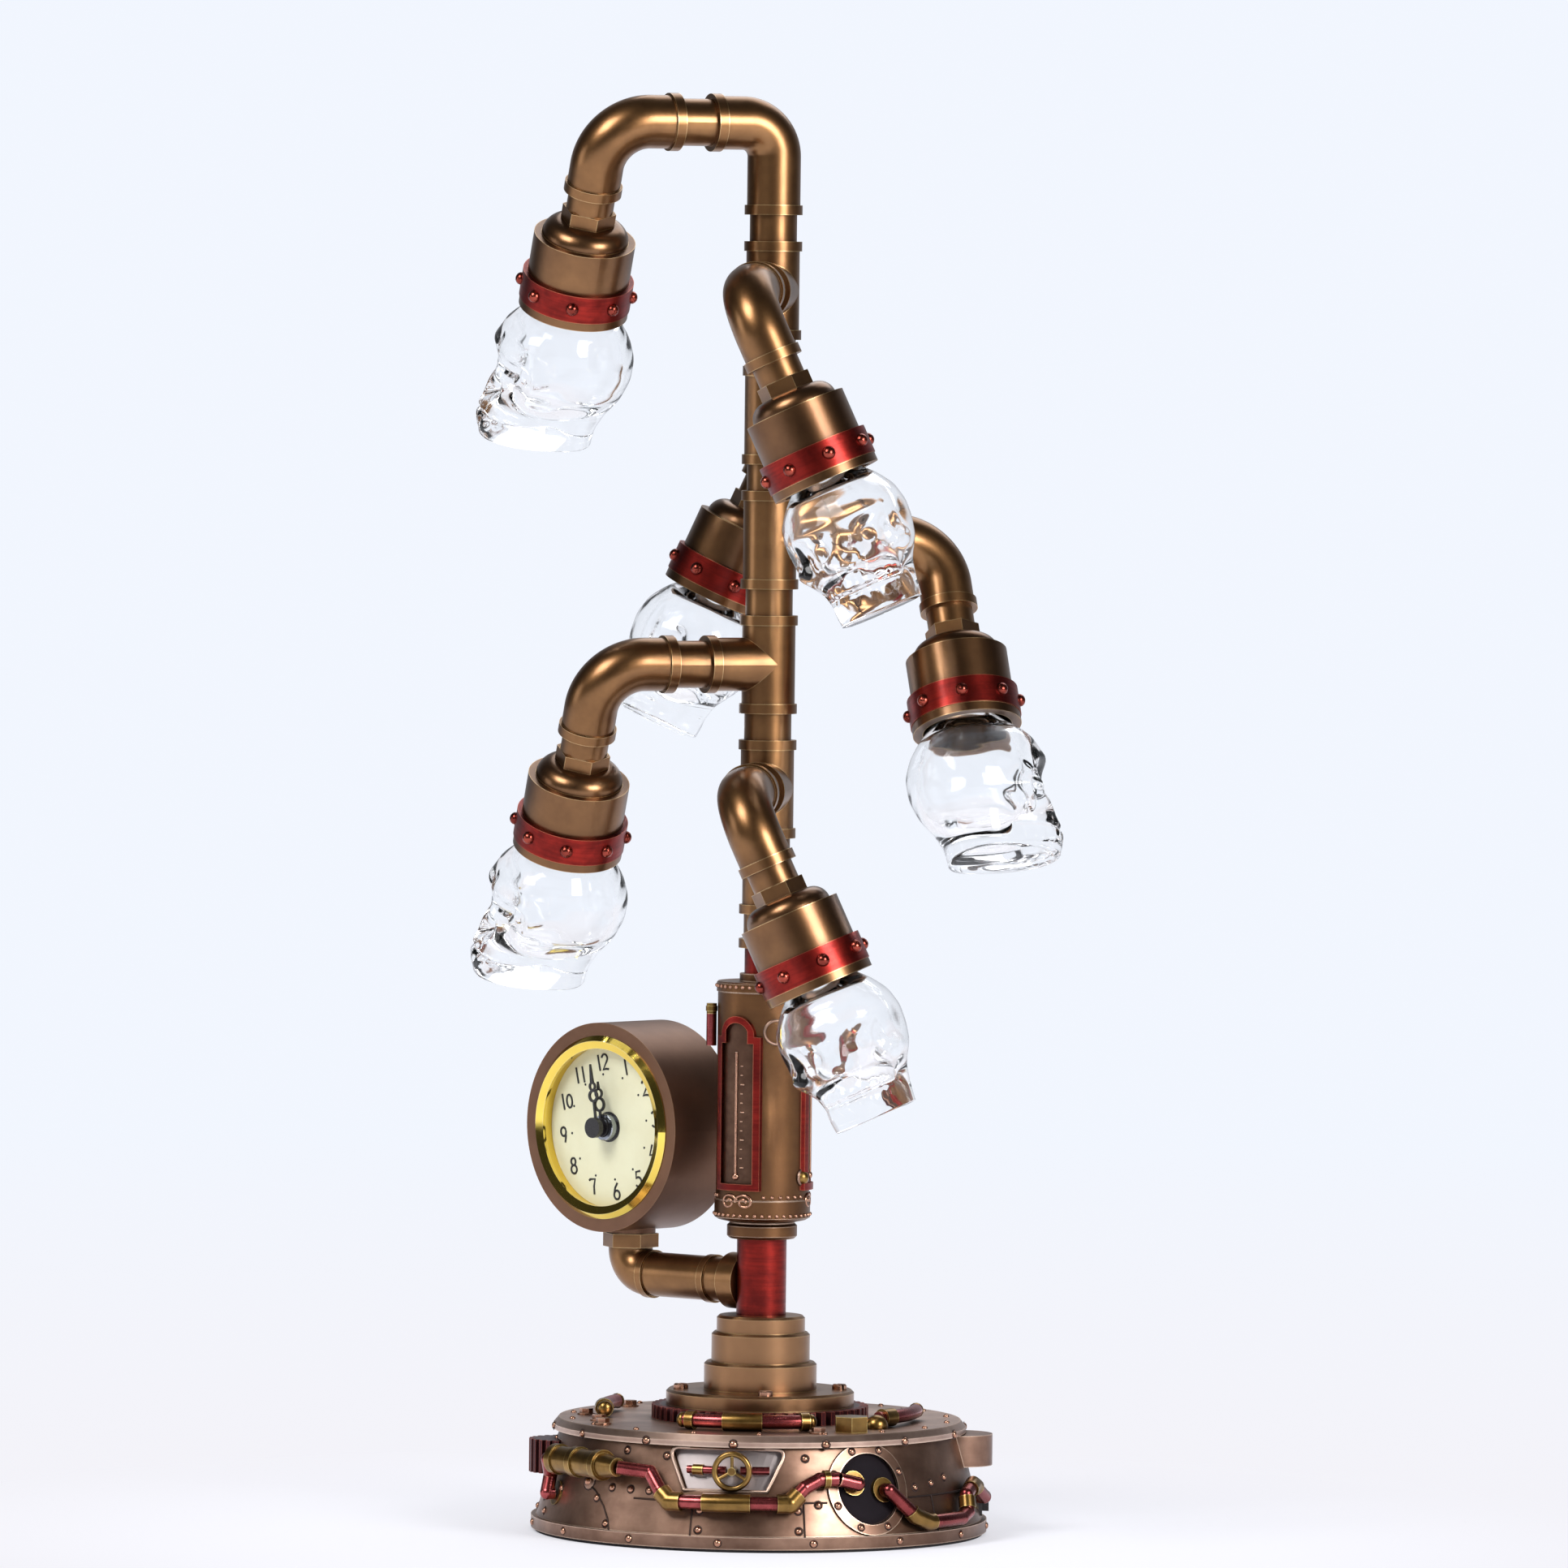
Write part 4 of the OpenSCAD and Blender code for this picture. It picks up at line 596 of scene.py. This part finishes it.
def slottedScrews(name, look):  # round heads in two halves
    verts, faces = [], []
    m = look["steps"] + 1
    levels = ((-look["sink"], look["r"]), (look["rise"] * look["bevelFrom"], look["r"]),
              (look["rise"], look["r"] * look["bevelTo"]))
    for heading in look["headings"]:
        place = around(heading, look["at"], look["z"])
        turn = Matrix.Rotation(math.radians(heading + look["slotTurn"]), 3, "Z")
        for side in (-1, 1):
            start = len(verts)
            for z, r in levels:
                a0 = math.asin(look["slot"] / 2 / r)
                for i in range(m):
                    a = a0 + (math.pi - 2 * a0) * i / look["steps"]
                    verts.append(tuple(place + turn @ Vector((r * math.cos(a), side * r * math.sin(a), z)) * mm))
            for k in range(len(levels) - 1):
                for i in range(m):
                    j = (i + 1) % m
                    quad = [start + k * m + i, start + k * m + j, start + (k + 1) * m + j, start + (k + 1) * m + i]
                    faces.append(quad if side > 0 else quad[::-1])
            top = [start + (len(levels) - 1) * m + i for i in range(m)]
            faces.append(top if side > 0 else top[::-1])
    return plainPiece(name, verts, faces, "rivet_metal", "stand")


slottedScrews("flange_screws", flangeScrew)
deckBolts = {"r": 2.7, "rise": 2.4, "spots": [(-62, 66), (-50, 71), (28, 70), (120, 62), (160, 66), (200, 60),
                                              (240, 66), (-85, 68)]}
studs("deck_bolts", [(onDeck(h, r), up) for h, r in deckBolts["spots"]], deckBolts, tree="bolt")
deckDome = {"heading": 56, "at": 62, "lift": 1.2, "r": 4.6, "rise": 4.2}
studs("deck_dome", [(onDeck(deckDome["heading"], deckDome["at"], deckDome["lift"]), up)], deckDome, "old_brass",
      slot="brass")
deckCaps = {"at": 61, "lift": 3.7, "r": 3.05, "rise": 2.3,  # on the ends of the pipes that lie on the deck
            "ends": [(-104, -1), (-72, 1), (-20, -1), (28, 1), (96, 1)]}
studs("deck_pipe_caps", [(onDeck(h, deckCaps["at"], deckCaps["lift"]), outward(h + 90) * way)
                         for h, way in deckCaps["ends"]], deckCaps, "old_brass", slot="brass")
print("base dressed")

# boiler: rivet rows, thermometers in the arched frames, scrolls and knobs

boiler = {"r": 18.2, "frames": [-25, 95]}


def onBoiler(heading, z, out=0.0):
    return around(heading, boiler["r"] + out, z)


boilerRivets = {"r": 0.75, "rise": 0.7, "clear": 30,  # rows: height, count, how far out, broken by the frames
                "rows": [(213.2, 40, 0.5, False), (131.5, 34, 0.0, True), (124.2, 40, 0.5, False)]}
boilerSpots = []
for z, count, out, broken in boilerRivets["rows"]:
    for i in range(count):
        heading = i * 360 / count
        nearest = min(abs((heading - f + 180) % 360 - 180) for f in boiler["frames"])
        if nearest > boilerRivets["clear"] or not broken:
            boilerSpots.append((onBoiler(heading, z, out), outward(heading)))
studs("boiler_rivets", boilerSpots, boilerRivets)
tube = {"r": 0.55, "sides": 8, "turn": -1, "low": 139.5, "top": 188, "out": 0.25}  # of the thermometers
bulb = {"r": 1.5, "rise": 1.1, "out": 0.2}
tick = {"r": 0.28, "sides": 6, "count": 12, "low": 143, "step": 3.6, "from": 5, "short": 8, "long": 10, "longEvery": 3,
        "out": 0.05}
scroll = {"r": 0.6, "sides": 8, "points": 26, "turn": 22, "wide": 4.0, "fade": 30, "aside": 11, "flat": 0.8, "z": 129.5,
          "out": 0.15}
tubes, bulbs, scrolls, ticks = [], [], [], []
for f in boiler["frames"]:
    at = f + tube["turn"]
    tubes.append([onBoiler(at, z, tube["out"]) for z in (tube["low"], tube["top"])])
    bulbs.append((onBoiler(at, tube["low"], bulb["out"]), outward(at)))
    for k in range(tick["count"]):
        z = tick["low"] + k * tick["step"]
        tickTo = tick["short"] if k % tick["longEvery"] else tick["long"]
        ticks.append([onBoiler(f + aside, z, tick["out"]) for aside in (tick["from"], tickTo)])
    for side in (-1, 1):
        curl = []
        for i in range(scroll["points"]):
            a = math.radians(i * scroll["turn"])
            r = scroll["wide"] * (1 - i / scroll["fade"])
            aside = scroll["aside"] - math.degrees(r * math.cos(a) / boiler["r"])
            curl.append(onBoiler(f + side * aside, scroll["z"] + r * scroll["flat"] * math.sin(a), scroll["out"]))
        scrolls.append(curl)
gauge = {"half": 7.4, "low": 136.5, "shoulder": 191.5, "archHalf": 5.1, "archRise": 8.0, "out": 0.12, "points": 33}


def gaugePlates():  # the dark ground inside each arched frame
    verts, faces = [], []
    n = gauge["points"]
    archR = (gauge["archHalf"] ** 2 + gauge["archRise"] ** 2) / (2 * gauge["archRise"])
    for f in boiler["frames"]:
        start = len(verts)
        for x in np.linspace(-gauge["half"], gauge["half"], n):
            arch = math.sqrt(max(0.0, archR ** 2 - x * x)) + gauge["archRise"] - archR
            top = gauge["shoulder"] + (arch if abs(x) <= gauge["archHalf"] else 0.0)
            heading = f + math.degrees(math.asin(x / boiler["r"]))
            verts += [tuple(onBoiler(heading, z, gauge["out"])) for z in (gauge["low"], top)]
        faces += [tuple(start + 2 * i + k for k in (0, 2, 3, 1)) for i in range(n - 1)]
    return plainPiece("gauge_plates", verts, faces, "plate_bronze", "stand")


gaugePlates()
bars("thermometer_tubes", tubes, tube, "rivet_metal")
studs("thermometer_bulbs", bulbs, bulb, slot="brass")
bars("thermometer_ticks", ticks, tick, "rivet_metal")
bars("boiler_scrolls", scrolls, scroll, "rivet_metal")
knobs = {"r": 2.9, "rise": 2.5, "headings": [67, 187], "z": 139, "out": 0.1}
knobRing = {"r": 3.7, "rise": 0.9}
knobSpots = [(onBoiler(h, knobs["z"], knobs["out"]), outward(h)) for h in knobs["headings"]]
studs("boiler_knob_rings", knobSpots, knobRing, "base_bronze")
studs("boiler_knobs", knobSpots, knobs, "old_brass", slot="brass")
medal = {"r": 0.6, "sides": 8, "heading": 24, "z": 196, "wide": 4.6, "out": 0.1, "points": 40}
loop = [onBoiler(medal["heading"] + math.degrees(medal["wide"] * math.cos(a) / boiler["r"]),
                 medal["z"] + medal["wide"] * math.sin(a), medal["out"])
        for a in np.linspace(0, 2 * math.pi, medal["points"])]
bars("boiler_medallion", [loop], medal, "base_bronze")
print("boiler dressed")

# arms: domed studs on the bands and the glass skulls

bandStuds = {"r": 2.55, "rise": 2.3, "count": 8, "at": 21.8, "drop": 71.2}
finishes["band_stud"] = agedMetal(bandStud)
for arm in arms:
    place = armPlace(arm)
    spots = []
    for k in range(bandStuds["count"]):
        heading = (k + 0.5) * 360 / bandStuds["count"]
        spot = place @ around(heading, bandStuds["at"], -bandStuds["drop"])
        spots.append((spot, (place.to_3x3() @ outward(heading)).normalized()))
    studs(arm + "_studs", spots, bandStuds, "band_stud", arm, "copper_red")

skull = {"width": 50.0, "depth": 58.0, "tall": 58.6, "square": 2.25, "jawDrop": 134.7, "foot": 0.45, "footShare": 0.86,
         "shoulder": 3, "neckTop": 76.7, "neckR": 11.0, "neckBoreR": 8.0, "boreLow": 1, "around": 168, "levels": 120,
         "crowd": 24}
hollow = {"low": 0.2, "high": 0.93, "levels": 40, "roundFrom": 0.42, "neckFrom": 0.84, "wall": 4.2, "share": 0.86,
          "leastWall": 2.2, "leastR": 0.05, "faceSink": 0.12, "faceWide": 55}
teeth = {"at": 0.17, "high": 0.075, "wide": 38, "pitch": 9.5, "rise": 0.6, "sink": 0.2}
# shares of the skull's size at levels from the jaw to the crown
widthAt = ([0, 0.13, 0.25, 0.38, 0.5, 0.62, 0.75, 0.86, 0.94, 1],
           [0.64, 0.68, 0.74, 0.92, 0.98, 1, 0.93, 0.76, 0.58, 0.42])
frontAt = ([0, 0.08, 0.18, 0.3, 0.42, 0.55, 0.68, 0.8, 0.9, 1],
           [0.51, 0.545, 0.545, 0.505, 0.46, 0.465, 0.47, 0.42, 0.29, 0.18])
backAt = ([0, 0.12, 0.24, 0.36, 0.5, 0.64, 0.76, 0.87, 0.95, 1],
          [0.255, 0.265, 0.325, 0.405, 0.455, 0.455, 0.41, 0.335, 0.26, 0.18])
skullDents = [  # in a pair or not, angle from the face's middle, level, half width, half height, how far out
    (True, 27, 0.5, 13, 0.085, -7.5),  # eyes
    (False, 0, 0.345, 8, 0.06, -5),  # nose
    (True, 24, 0.635, 20, 0.05, 1.4),  # brows
    (True, 52, 0.4, 14, 0.06, 2.4),  # cheekbones
    (True, 58, 0.2, 18, 0.08, -3),  # hollows of the cheeks
    (True, 66, 0.56, 14, 0.1, -2),  # temples
    (False, 0, 0.17, 45, 0.018, -1.3),  # mouth
    (True, 44, 0.5, 4, 0.12, 0.9),  # outer rims of the eyes
    (False, 0, 0.44, 5, 0.07, 1.2)]  # bridge of the nose


def softTable(v, table, spread=0.03):  # the level tables, rounded off between their points
    return sum(np.interp(v + d * spread, *table) for d in (-1, -0.5, 0, 0.5, 1)) / 5


def skullMarks(a, v):
    form = 0.0
    for paired, atA, atV, wide, high, size in skullDents:
        aside = np.abs(a) if paired else a
        form = form + size * np.exp(-((aside - atA) / wide) ** 2 - ((v - atV) / high) ** 2)
    mouth = np.exp(-(a / teeth["wide"]) ** 4) * np.exp(-((v - teeth["at"]) / teeth["high"]) ** 4)
    row = np.abs(np.cos(np.radians(a * 180 / teeth["pitch"])))
    return form + mouth * (teeth["rise"] * row - teeth["sink"])


def skullR(a, v):
    wide = skull["width"] / 2 * softTable(v, widthAt)
    deep = skull["depth"] * np.where(np.abs(a) < 90, softTable(v, frontAt), softTable(v, backAt))
    power = skull["square"]
    oval = np.abs(np.sin(np.radians(a)) / wide) ** power + np.abs(np.cos(np.radians(a)) / deep) ** power
    return oval ** (-1 / power)


def ringPoints(r, a, z):
    rad = np.radians(a)
    return np.stack([r * np.sin(rad), -r * np.cos(rad), np.broadcast_to(z, np.shape(r))], -1)


def hollowRing(a, v):  # one level of the inside
    level = np.full(len(a), v)
    outer = skullR(a, level)
    fade = max(0.0, (hollow["roundFrom"] - v) / (hollow["roundFrom"] - hollow["low"]))
    close = min(1.0, math.sqrt(max(0.0, 1 - fade ** 2)))
    shrink = 1 - hollow["faceSink"] * np.exp(-(a / hollow["faceWide"]) ** 2)
    r = np.minimum(outer - hollow["wall"], outer * hollow["share"]) * shrink
    r = np.minimum(r, outer + skullMarks(a, level) - hollow["leastWall"])  # never out through a dent
    r = np.maximum(r * close, hollow["leastR"])
    if v > hollow["neckFrom"]:
        t = (v - hollow["neckFrom"]) / (hollow["high"] - hollow["neckFrom"])
        r = r * (1 - t) + skull["neckBoreR"] * t
    return ringPoints(r, a, v * skull["tall"])


def skullMesh():
    n = skull["around"]
    s = np.arange(n) * 360 / n - 180
    a = s - skull["crowd"] * np.sin(np.radians(s))  # closer together on the face
    rows = [ringPoints(skullR(a, np.zeros(n)) * skull["footShare"], a, 0.0)]
    for j in range(skull["levels"] + 1):
        v = np.full(n, j / skull["levels"])
        z = skull["foot"] + v[0] * (skull["tall"] - skull["foot"])
        rows.append(ringPoints(skullR(a, v) + skullMarks(a, v), a, z))
    crown = rows[-1]
    for t in (0.35, 0.7, 1.0):  # from the crown to the neck
        neck = ringPoints(np.full(n, skull["neckR"]), a, skull["tall"] + skull["shoulder"] * t)
        rows.append(np.column_stack([(crown * (1 - t) + neck * t)[:, :2], neck[:, 2]]))
    for r, z in ((skull["neckR"], skull["neckTop"]), (skull["neckBoreR"], skull["neckTop"]),
                 (skull["neckBoreR"], skull["tall"] + skull["boreLow"])):
        rows.append(ringPoints(np.full(n, r), a, z))
    for j in range(hollow["levels"] + 1):
        rows.append(hollowRing(a, hollow["high"] - (hollow["high"] - hollow["low"]) * j / hollow["levels"]))
    last = len(rows) - 1
    faces = [(j * n + k, j * n + (k + 1) % n, (j + 1) * n + (k + 1) % n, (j + 1) * n + k)
             for j in range(last) for k in range(n)]
    faces.append(tuple(range(n - 1, -1, -1)))
    faces.append(tuple(last * n + k for k in range(n)))
    return np.concatenate(rows) * mm, faces


skullVerts, skullFaces = skullMesh()
for arm in arms:
    place = armPlace(arm) @ Matrix.Translation((0, 0, -skull["jawDrop"] * mm))
    glass = plainPiece(arm + "_glass", [tuple(place @ Vector(p)) for p in skullVerts], skullFaces, "skull_glass", arm)
    glass.data.polygons.foreach_set("use_smooth", [True] * len(glass.data.polygons))
    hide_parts(arm + "_skull")
print("skulls:", len(skullFaces), "faces each")

# clock: numbers and dots on the dial, the bush behind the hands, and the case's back

clock = {"heading": -120, "reach": 66.5, "z": 155, "faces": -35, "roll": -10, "dialY": -12.8, "numberR": 25.5,
         "numberTall": 6.4, "digitWide": 0.62, "digitStep": 0.86}
ink = {"r": 0.46, "sides": 6}
dialDots = {"r": 0.5, "rise": 0.25, "at": 20.8}
clockPlace = (Matrix.Rotation(math.radians(clock["heading"]), 4, "Z")
              @ Matrix.Translation((0, -clock["reach"] * mm, clock["z"] * mm))
              @ Matrix.Rotation(math.radians(clock["faces"] - clock["heading"]), 4, "Z"))


def arc(cx, cy, rx, ry, start, end, steps=12):
    return [(cx + rx * math.cos(math.radians(start + (end - start) * i / steps)),
             cy + ry * math.sin(math.radians(start + (end - start) * i / steps))) for i in range(steps + 1)]


digits = {  # pen strokes in a cell 0.6 wide and 1 high
    "0": [arc(0.3, 0.48, 0.23, 0.4, 100, 462, 20)],
    "1": [[(0.27, 1.0), (0.3, 0.5), (0.34, 0.0)]],
    "2": [arc(0.28, 0.72, 0.24, 0.26, 165, -40) + [(0.06, 0.03), (0.3, 0.07), (0.56, 0.02)]],
    "3": [arc(0.27, 0.75, 0.24, 0.22, 150, -80) + arc(0.27, 0.28, 0.28, 0.26, 80, -150)],
    "4": [[(0.34, 0.98), (0.05, 0.36), (0.58, 0.36)], [(0.42, 0.62), (0.4, 0.0)]],
    "5": [[(0.52, 0.97), (0.16, 0.95), (0.12, 0.56)] + arc(0.27, 0.32, 0.27, 0.29, 110, -140)],
    "6": [[(0.44, 1.0), (0.2, 0.72)] + arc(0.3, 0.28, 0.24, 0.27, 160, 520, 18)],
    "7": [[(0.05, 0.9), (0.14, 0.97), (0.55, 0.93), (0.4, 0.5), (0.36, 0.0)]],
    "8": [arc(0.31, 0.75, 0.19, 0.22, -90, 270, 16), arc(0.3, 0.27, 0.24, 0.26, 90, 450, 18)],
    "9": [arc(0.28, 0.68, 0.22, 0.27, 20, 380, 18) + [(0.46, 0.4), (0.34, 0.0)]]}


def onDial(x, z):  # a point on the dial's face, turned with the dial
    roll = math.radians(clock["roll"])
    flat = Vector((x * math.cos(roll) + z * math.sin(roll), clock["dialY"],
                   -x * math.sin(roll) + z * math.cos(roll)))
    return clockPlace @ (flat * mm)


strokes, dots = [], []
dialAim = (clockPlace.to_3x3() @ Vector((0, -1, 0))).normalized()
tall = clock["numberTall"]
for hour in range(1, 13):
    a = math.radians(hour * 30)
    number = str(hour)
    for i, digit in enumerate(number):
        x0 = clock["numberR"] * math.sin(a) + (i - len(number) / 2) * clock["digitWide"] * tall * clock["digitStep"]
        z0 = clock["numberR"] * math.cos(a) - tall / 2
        strokes += [[onDial(x0 + u * tall, z0 + w * tall) for u, w in stroke] for stroke in digits[digit]]
    dots.append((onDial(dialDots["at"] * math.sin(a), dialDots["at"] * math.cos(a)), dialAim))
bars("dial_numbers", strokes, ink, "dark_ink", "clock_insert")
studs("dial_dots", dots, dialDots, "dark_ink", "clock_insert", "black_paint")


def onClock(radius, turn, y):  # round the clock's axis
    return clockPlace @ (Vector((radius * math.cos(turn), y, radius * math.sin(turn))) * mm)


def turnedOnDial(name, profile, finish, n=48):  # profile is (radius, height over the dial)
    verts = [tuple(onClock(r, k * 2 * math.pi / n, clock["dialY"] - y)) for r, y in profile for k in range(n)]
    faces = [(j * n + k, (j + 1) * n + k, (j + 1) * n + (k + 1) % n, j * n + (k + 1) % n)
             for j in range(len(profile) - 1) for k in range(n)]
    return plainPiece(name, verts, faces, finish, "clock_insert")


bush = {"r": 5.25, "out": 3.6, "boreR": 4.92, "lip": 0.3, "topR": 4.0, "topRise": 0.02}
dialWasher = {"wide": 0.7, "edge": 0.5, "top": 0.6}
washerR = bush["r"] + dialWasher["wide"]
turnedOnDial("dial_washer", [(bush["r"], 0.0), (washerR, 0.0), (washerR, dialWasher["edge"]),
                             (bush["r"], dialWasher["top"])], "black_paint")
turnedOnDial("bush_sleeve", [(bush["boreR"], 0.0), (bush["r"], 0.0), (bush["r"], bush["out"] - bush["lip"]),
                             (bush["r"] - bush["lip"], bush["out"]), (bush["topR"], bush["out"] + bush["topRise"])],
             "steel_bush")
caseBackY = 17.5
caseScrews = {"r": 1.9, "rise": 1.1, "ring": 0.5, "count": 4, "at": 33.5}
caseGroove = {"r": 0.35, "sides": 6, "at": 37.6, "sink": 0.1, "points": 73}
screwTurns = [(k + 0.5) * 2 * math.pi / caseScrews["count"] for k in range(caseScrews["count"])]
studs("case_back_screws", [(onClock(caseScrews["at"], t, caseBackY), -dialAim) for t in screwTurns], caseScrews,
      body="clock_head")
bars("case_back_groove", [[onClock(caseGroove["at"], t, caseBackY - caseGroove["sink"])
                           for t in np.linspace(0, 2 * math.pi, caseGroove["points"])]],
     caseGroove, "blackened_line", "clock_head")
print("clock dressed")

# studio: floor, lights, backdrop and camera

studio = {"white": (0.885, 0.922, 0.995), "floor": (0.905, 0.90, 0.95), "matt": (0.86, 0.86, 0.9), "floorHalf": 4.0,
          "room": 0.04, "glassRoom": 0.95, "glassGain": 0.98, "worldFill": 0.5, "lampAim": (0, 0, 0.28),
          "lamps": [((-1.1, -1.6, 1.9), 1.0, 42.0), ((1.6, -1.3, 0.9), 0.8, 38.0),  # place, size, power
                    ((-1.9, -0.6, 0.5), 0.7, 3.0), ((0.2, 1.4, 1.6), 1.2, 8.0)]}


def makeFloor():
    size = studio["floorHalf"]
    mesh = bpy.data.meshes.new("floor")
    mesh.from_pydata([(-size, -size, 0), (size, -size, 0), (size, size, 0), (-size, size, 0)], [], [(0, 1, 2, 3)])
    floor = bpy.data.objects.new("floor", mesh)
    bpy.context.scene.collection.objects.link(floor)
    finish, g = newFinish("floor_white")
    place = g.add("ShaderNodeTexCoord", {}, {}, "Object")
    away = g.add("ShaderNodeVectorMath", {"operation": "LENGTH"}, {0: place}, "Value")
    near = g.ramp(away * 1.6, [(0.14, 1), (0.55, 0)])
    ray = g.add("ShaderNodeLightPath", {}, {}, "Is Camera Ray")
    seen = (ray + ray.other("Transmission Depth").above(0.5)).clamped()  # also seen so through the glass
    matt = g.add("ShaderNodeBsdfDiffuse", {}, {"Color": (*studio["matt"], 1)})
    tint = g.colourMix(g.ramp(away * 0.4, [(0.15, 0), (0.9, 1)]), studio["floor"], studio["white"])
    glow = g.add("ShaderNodeEmission", {}, {"Color": tint, "Strength": 1.0})
    shown = g.add("ShaderNodeMixShader", {}, {0: seen * (1 - near * 0.6), 1: matt, 2: glow})
    g.add("ShaderNodeOutputMaterial", {}, {"Surface": shown})
    mesh.materials.append(finish)


def makeWorld():
    world = bpy.data.worlds.new("studio")
    bpy.context.scene.world = world
    world.use_nodes = True
    world.node_tree.nodes.clear()
    g = Graph(world.node_tree)
    way = g.add("ShaderNodeTexCoord", {}, {}, "Generated")
    back = g.add("ShaderNodeSeparateXYZ", {}, {0: way}, "Y")
    path = g.add("ShaderNodeLightPath", {}, {}, "Is Camera Ray")
    through = path.other("Transmission Depth").above(0.5)
    mirrored = path.other("Is Glossy Ray") * (1 - through)
    backdrop = g.ramp(back * 0.5 + 0.5, [(0.72, studio["room"]), (0.98, 0.4)])
    behind = g.ramp(back * 0.5 + 0.5, [(0.1, studio["glassRoom"]), (0.6, 1.0)])
    plain = (1 - path - mirrored - through).clamped() * studio["worldFill"]
    strength = path + mirrored * backdrop + through * behind * studio["glassGain"] + plain
    light = g.add("ShaderNodeBackground", {}, {"Color": (*studio["white"], 1), "Strength": strength})
    g.add("ShaderNodeOutputWorld", {}, {"Surface": light})


def makeLamps():
    for i, (place, size, power) in enumerate(studio["lamps"]):
        lamp = bpy.data.lights.new("softbox_%d" % i, "AREA")
        lamp.size = size
        lamp.energy = power
        box = bpy.data.objects.new("softbox_%d" % i, lamp)
        box.location = place
        box.rotation_euler = (Vector(studio["lampAim"]) - Vector(place)).to_track_quat("-Z", "Y").to_euler()
        bpy.context.scene.collection.objects.link(box)


view = {"frame": 1932, "mmPerPixel": 0.316, "azimuth": 9.1, "distance": 5.0, "height": 0.5, "aimX": 0.0066,
        "aimZ": 0.2919, "roll": 0.66, "sensor": 36.0}


def makeCamera():
    camera = bpy.data.cameras.new("camera")
    camera.sensor_width = view["sensor"]
    across = view["frame"] * view["mmPerPixel"] * mm
    camera.lens = view["sensor"] * view["distance"] / across
    camera.clip_end = 50
    a = math.radians(view["azimuth"])
    right = Vector((math.cos(a), math.sin(a), 0))
    eye = Vector((math.sin(a), -math.cos(a), 0)) * view["distance"] + right * view["aimX"]
    eye.z = view["height"]
    aim = right * view["aimX"] + Vector((0, 0, view["aimZ"]))
    seat = bpy.data.objects.new("camera", camera)
    look = (aim - eye).to_track_quat("-Z", "Y").to_matrix().to_4x4()
    seat.matrix_world = Matrix.Translation(eye) @ look @ Matrix.Rotation(math.radians(view["roll"]), 4, "Z")
    bpy.context.scene.collection.objects.link(seat)
    bpy.context.scene.camera = seat


makeFloor()
makeWorld()
makeLamps()
makeCamera()
bpy.context.scene.view_settings.view_transform = "Standard"
print("studio ready")
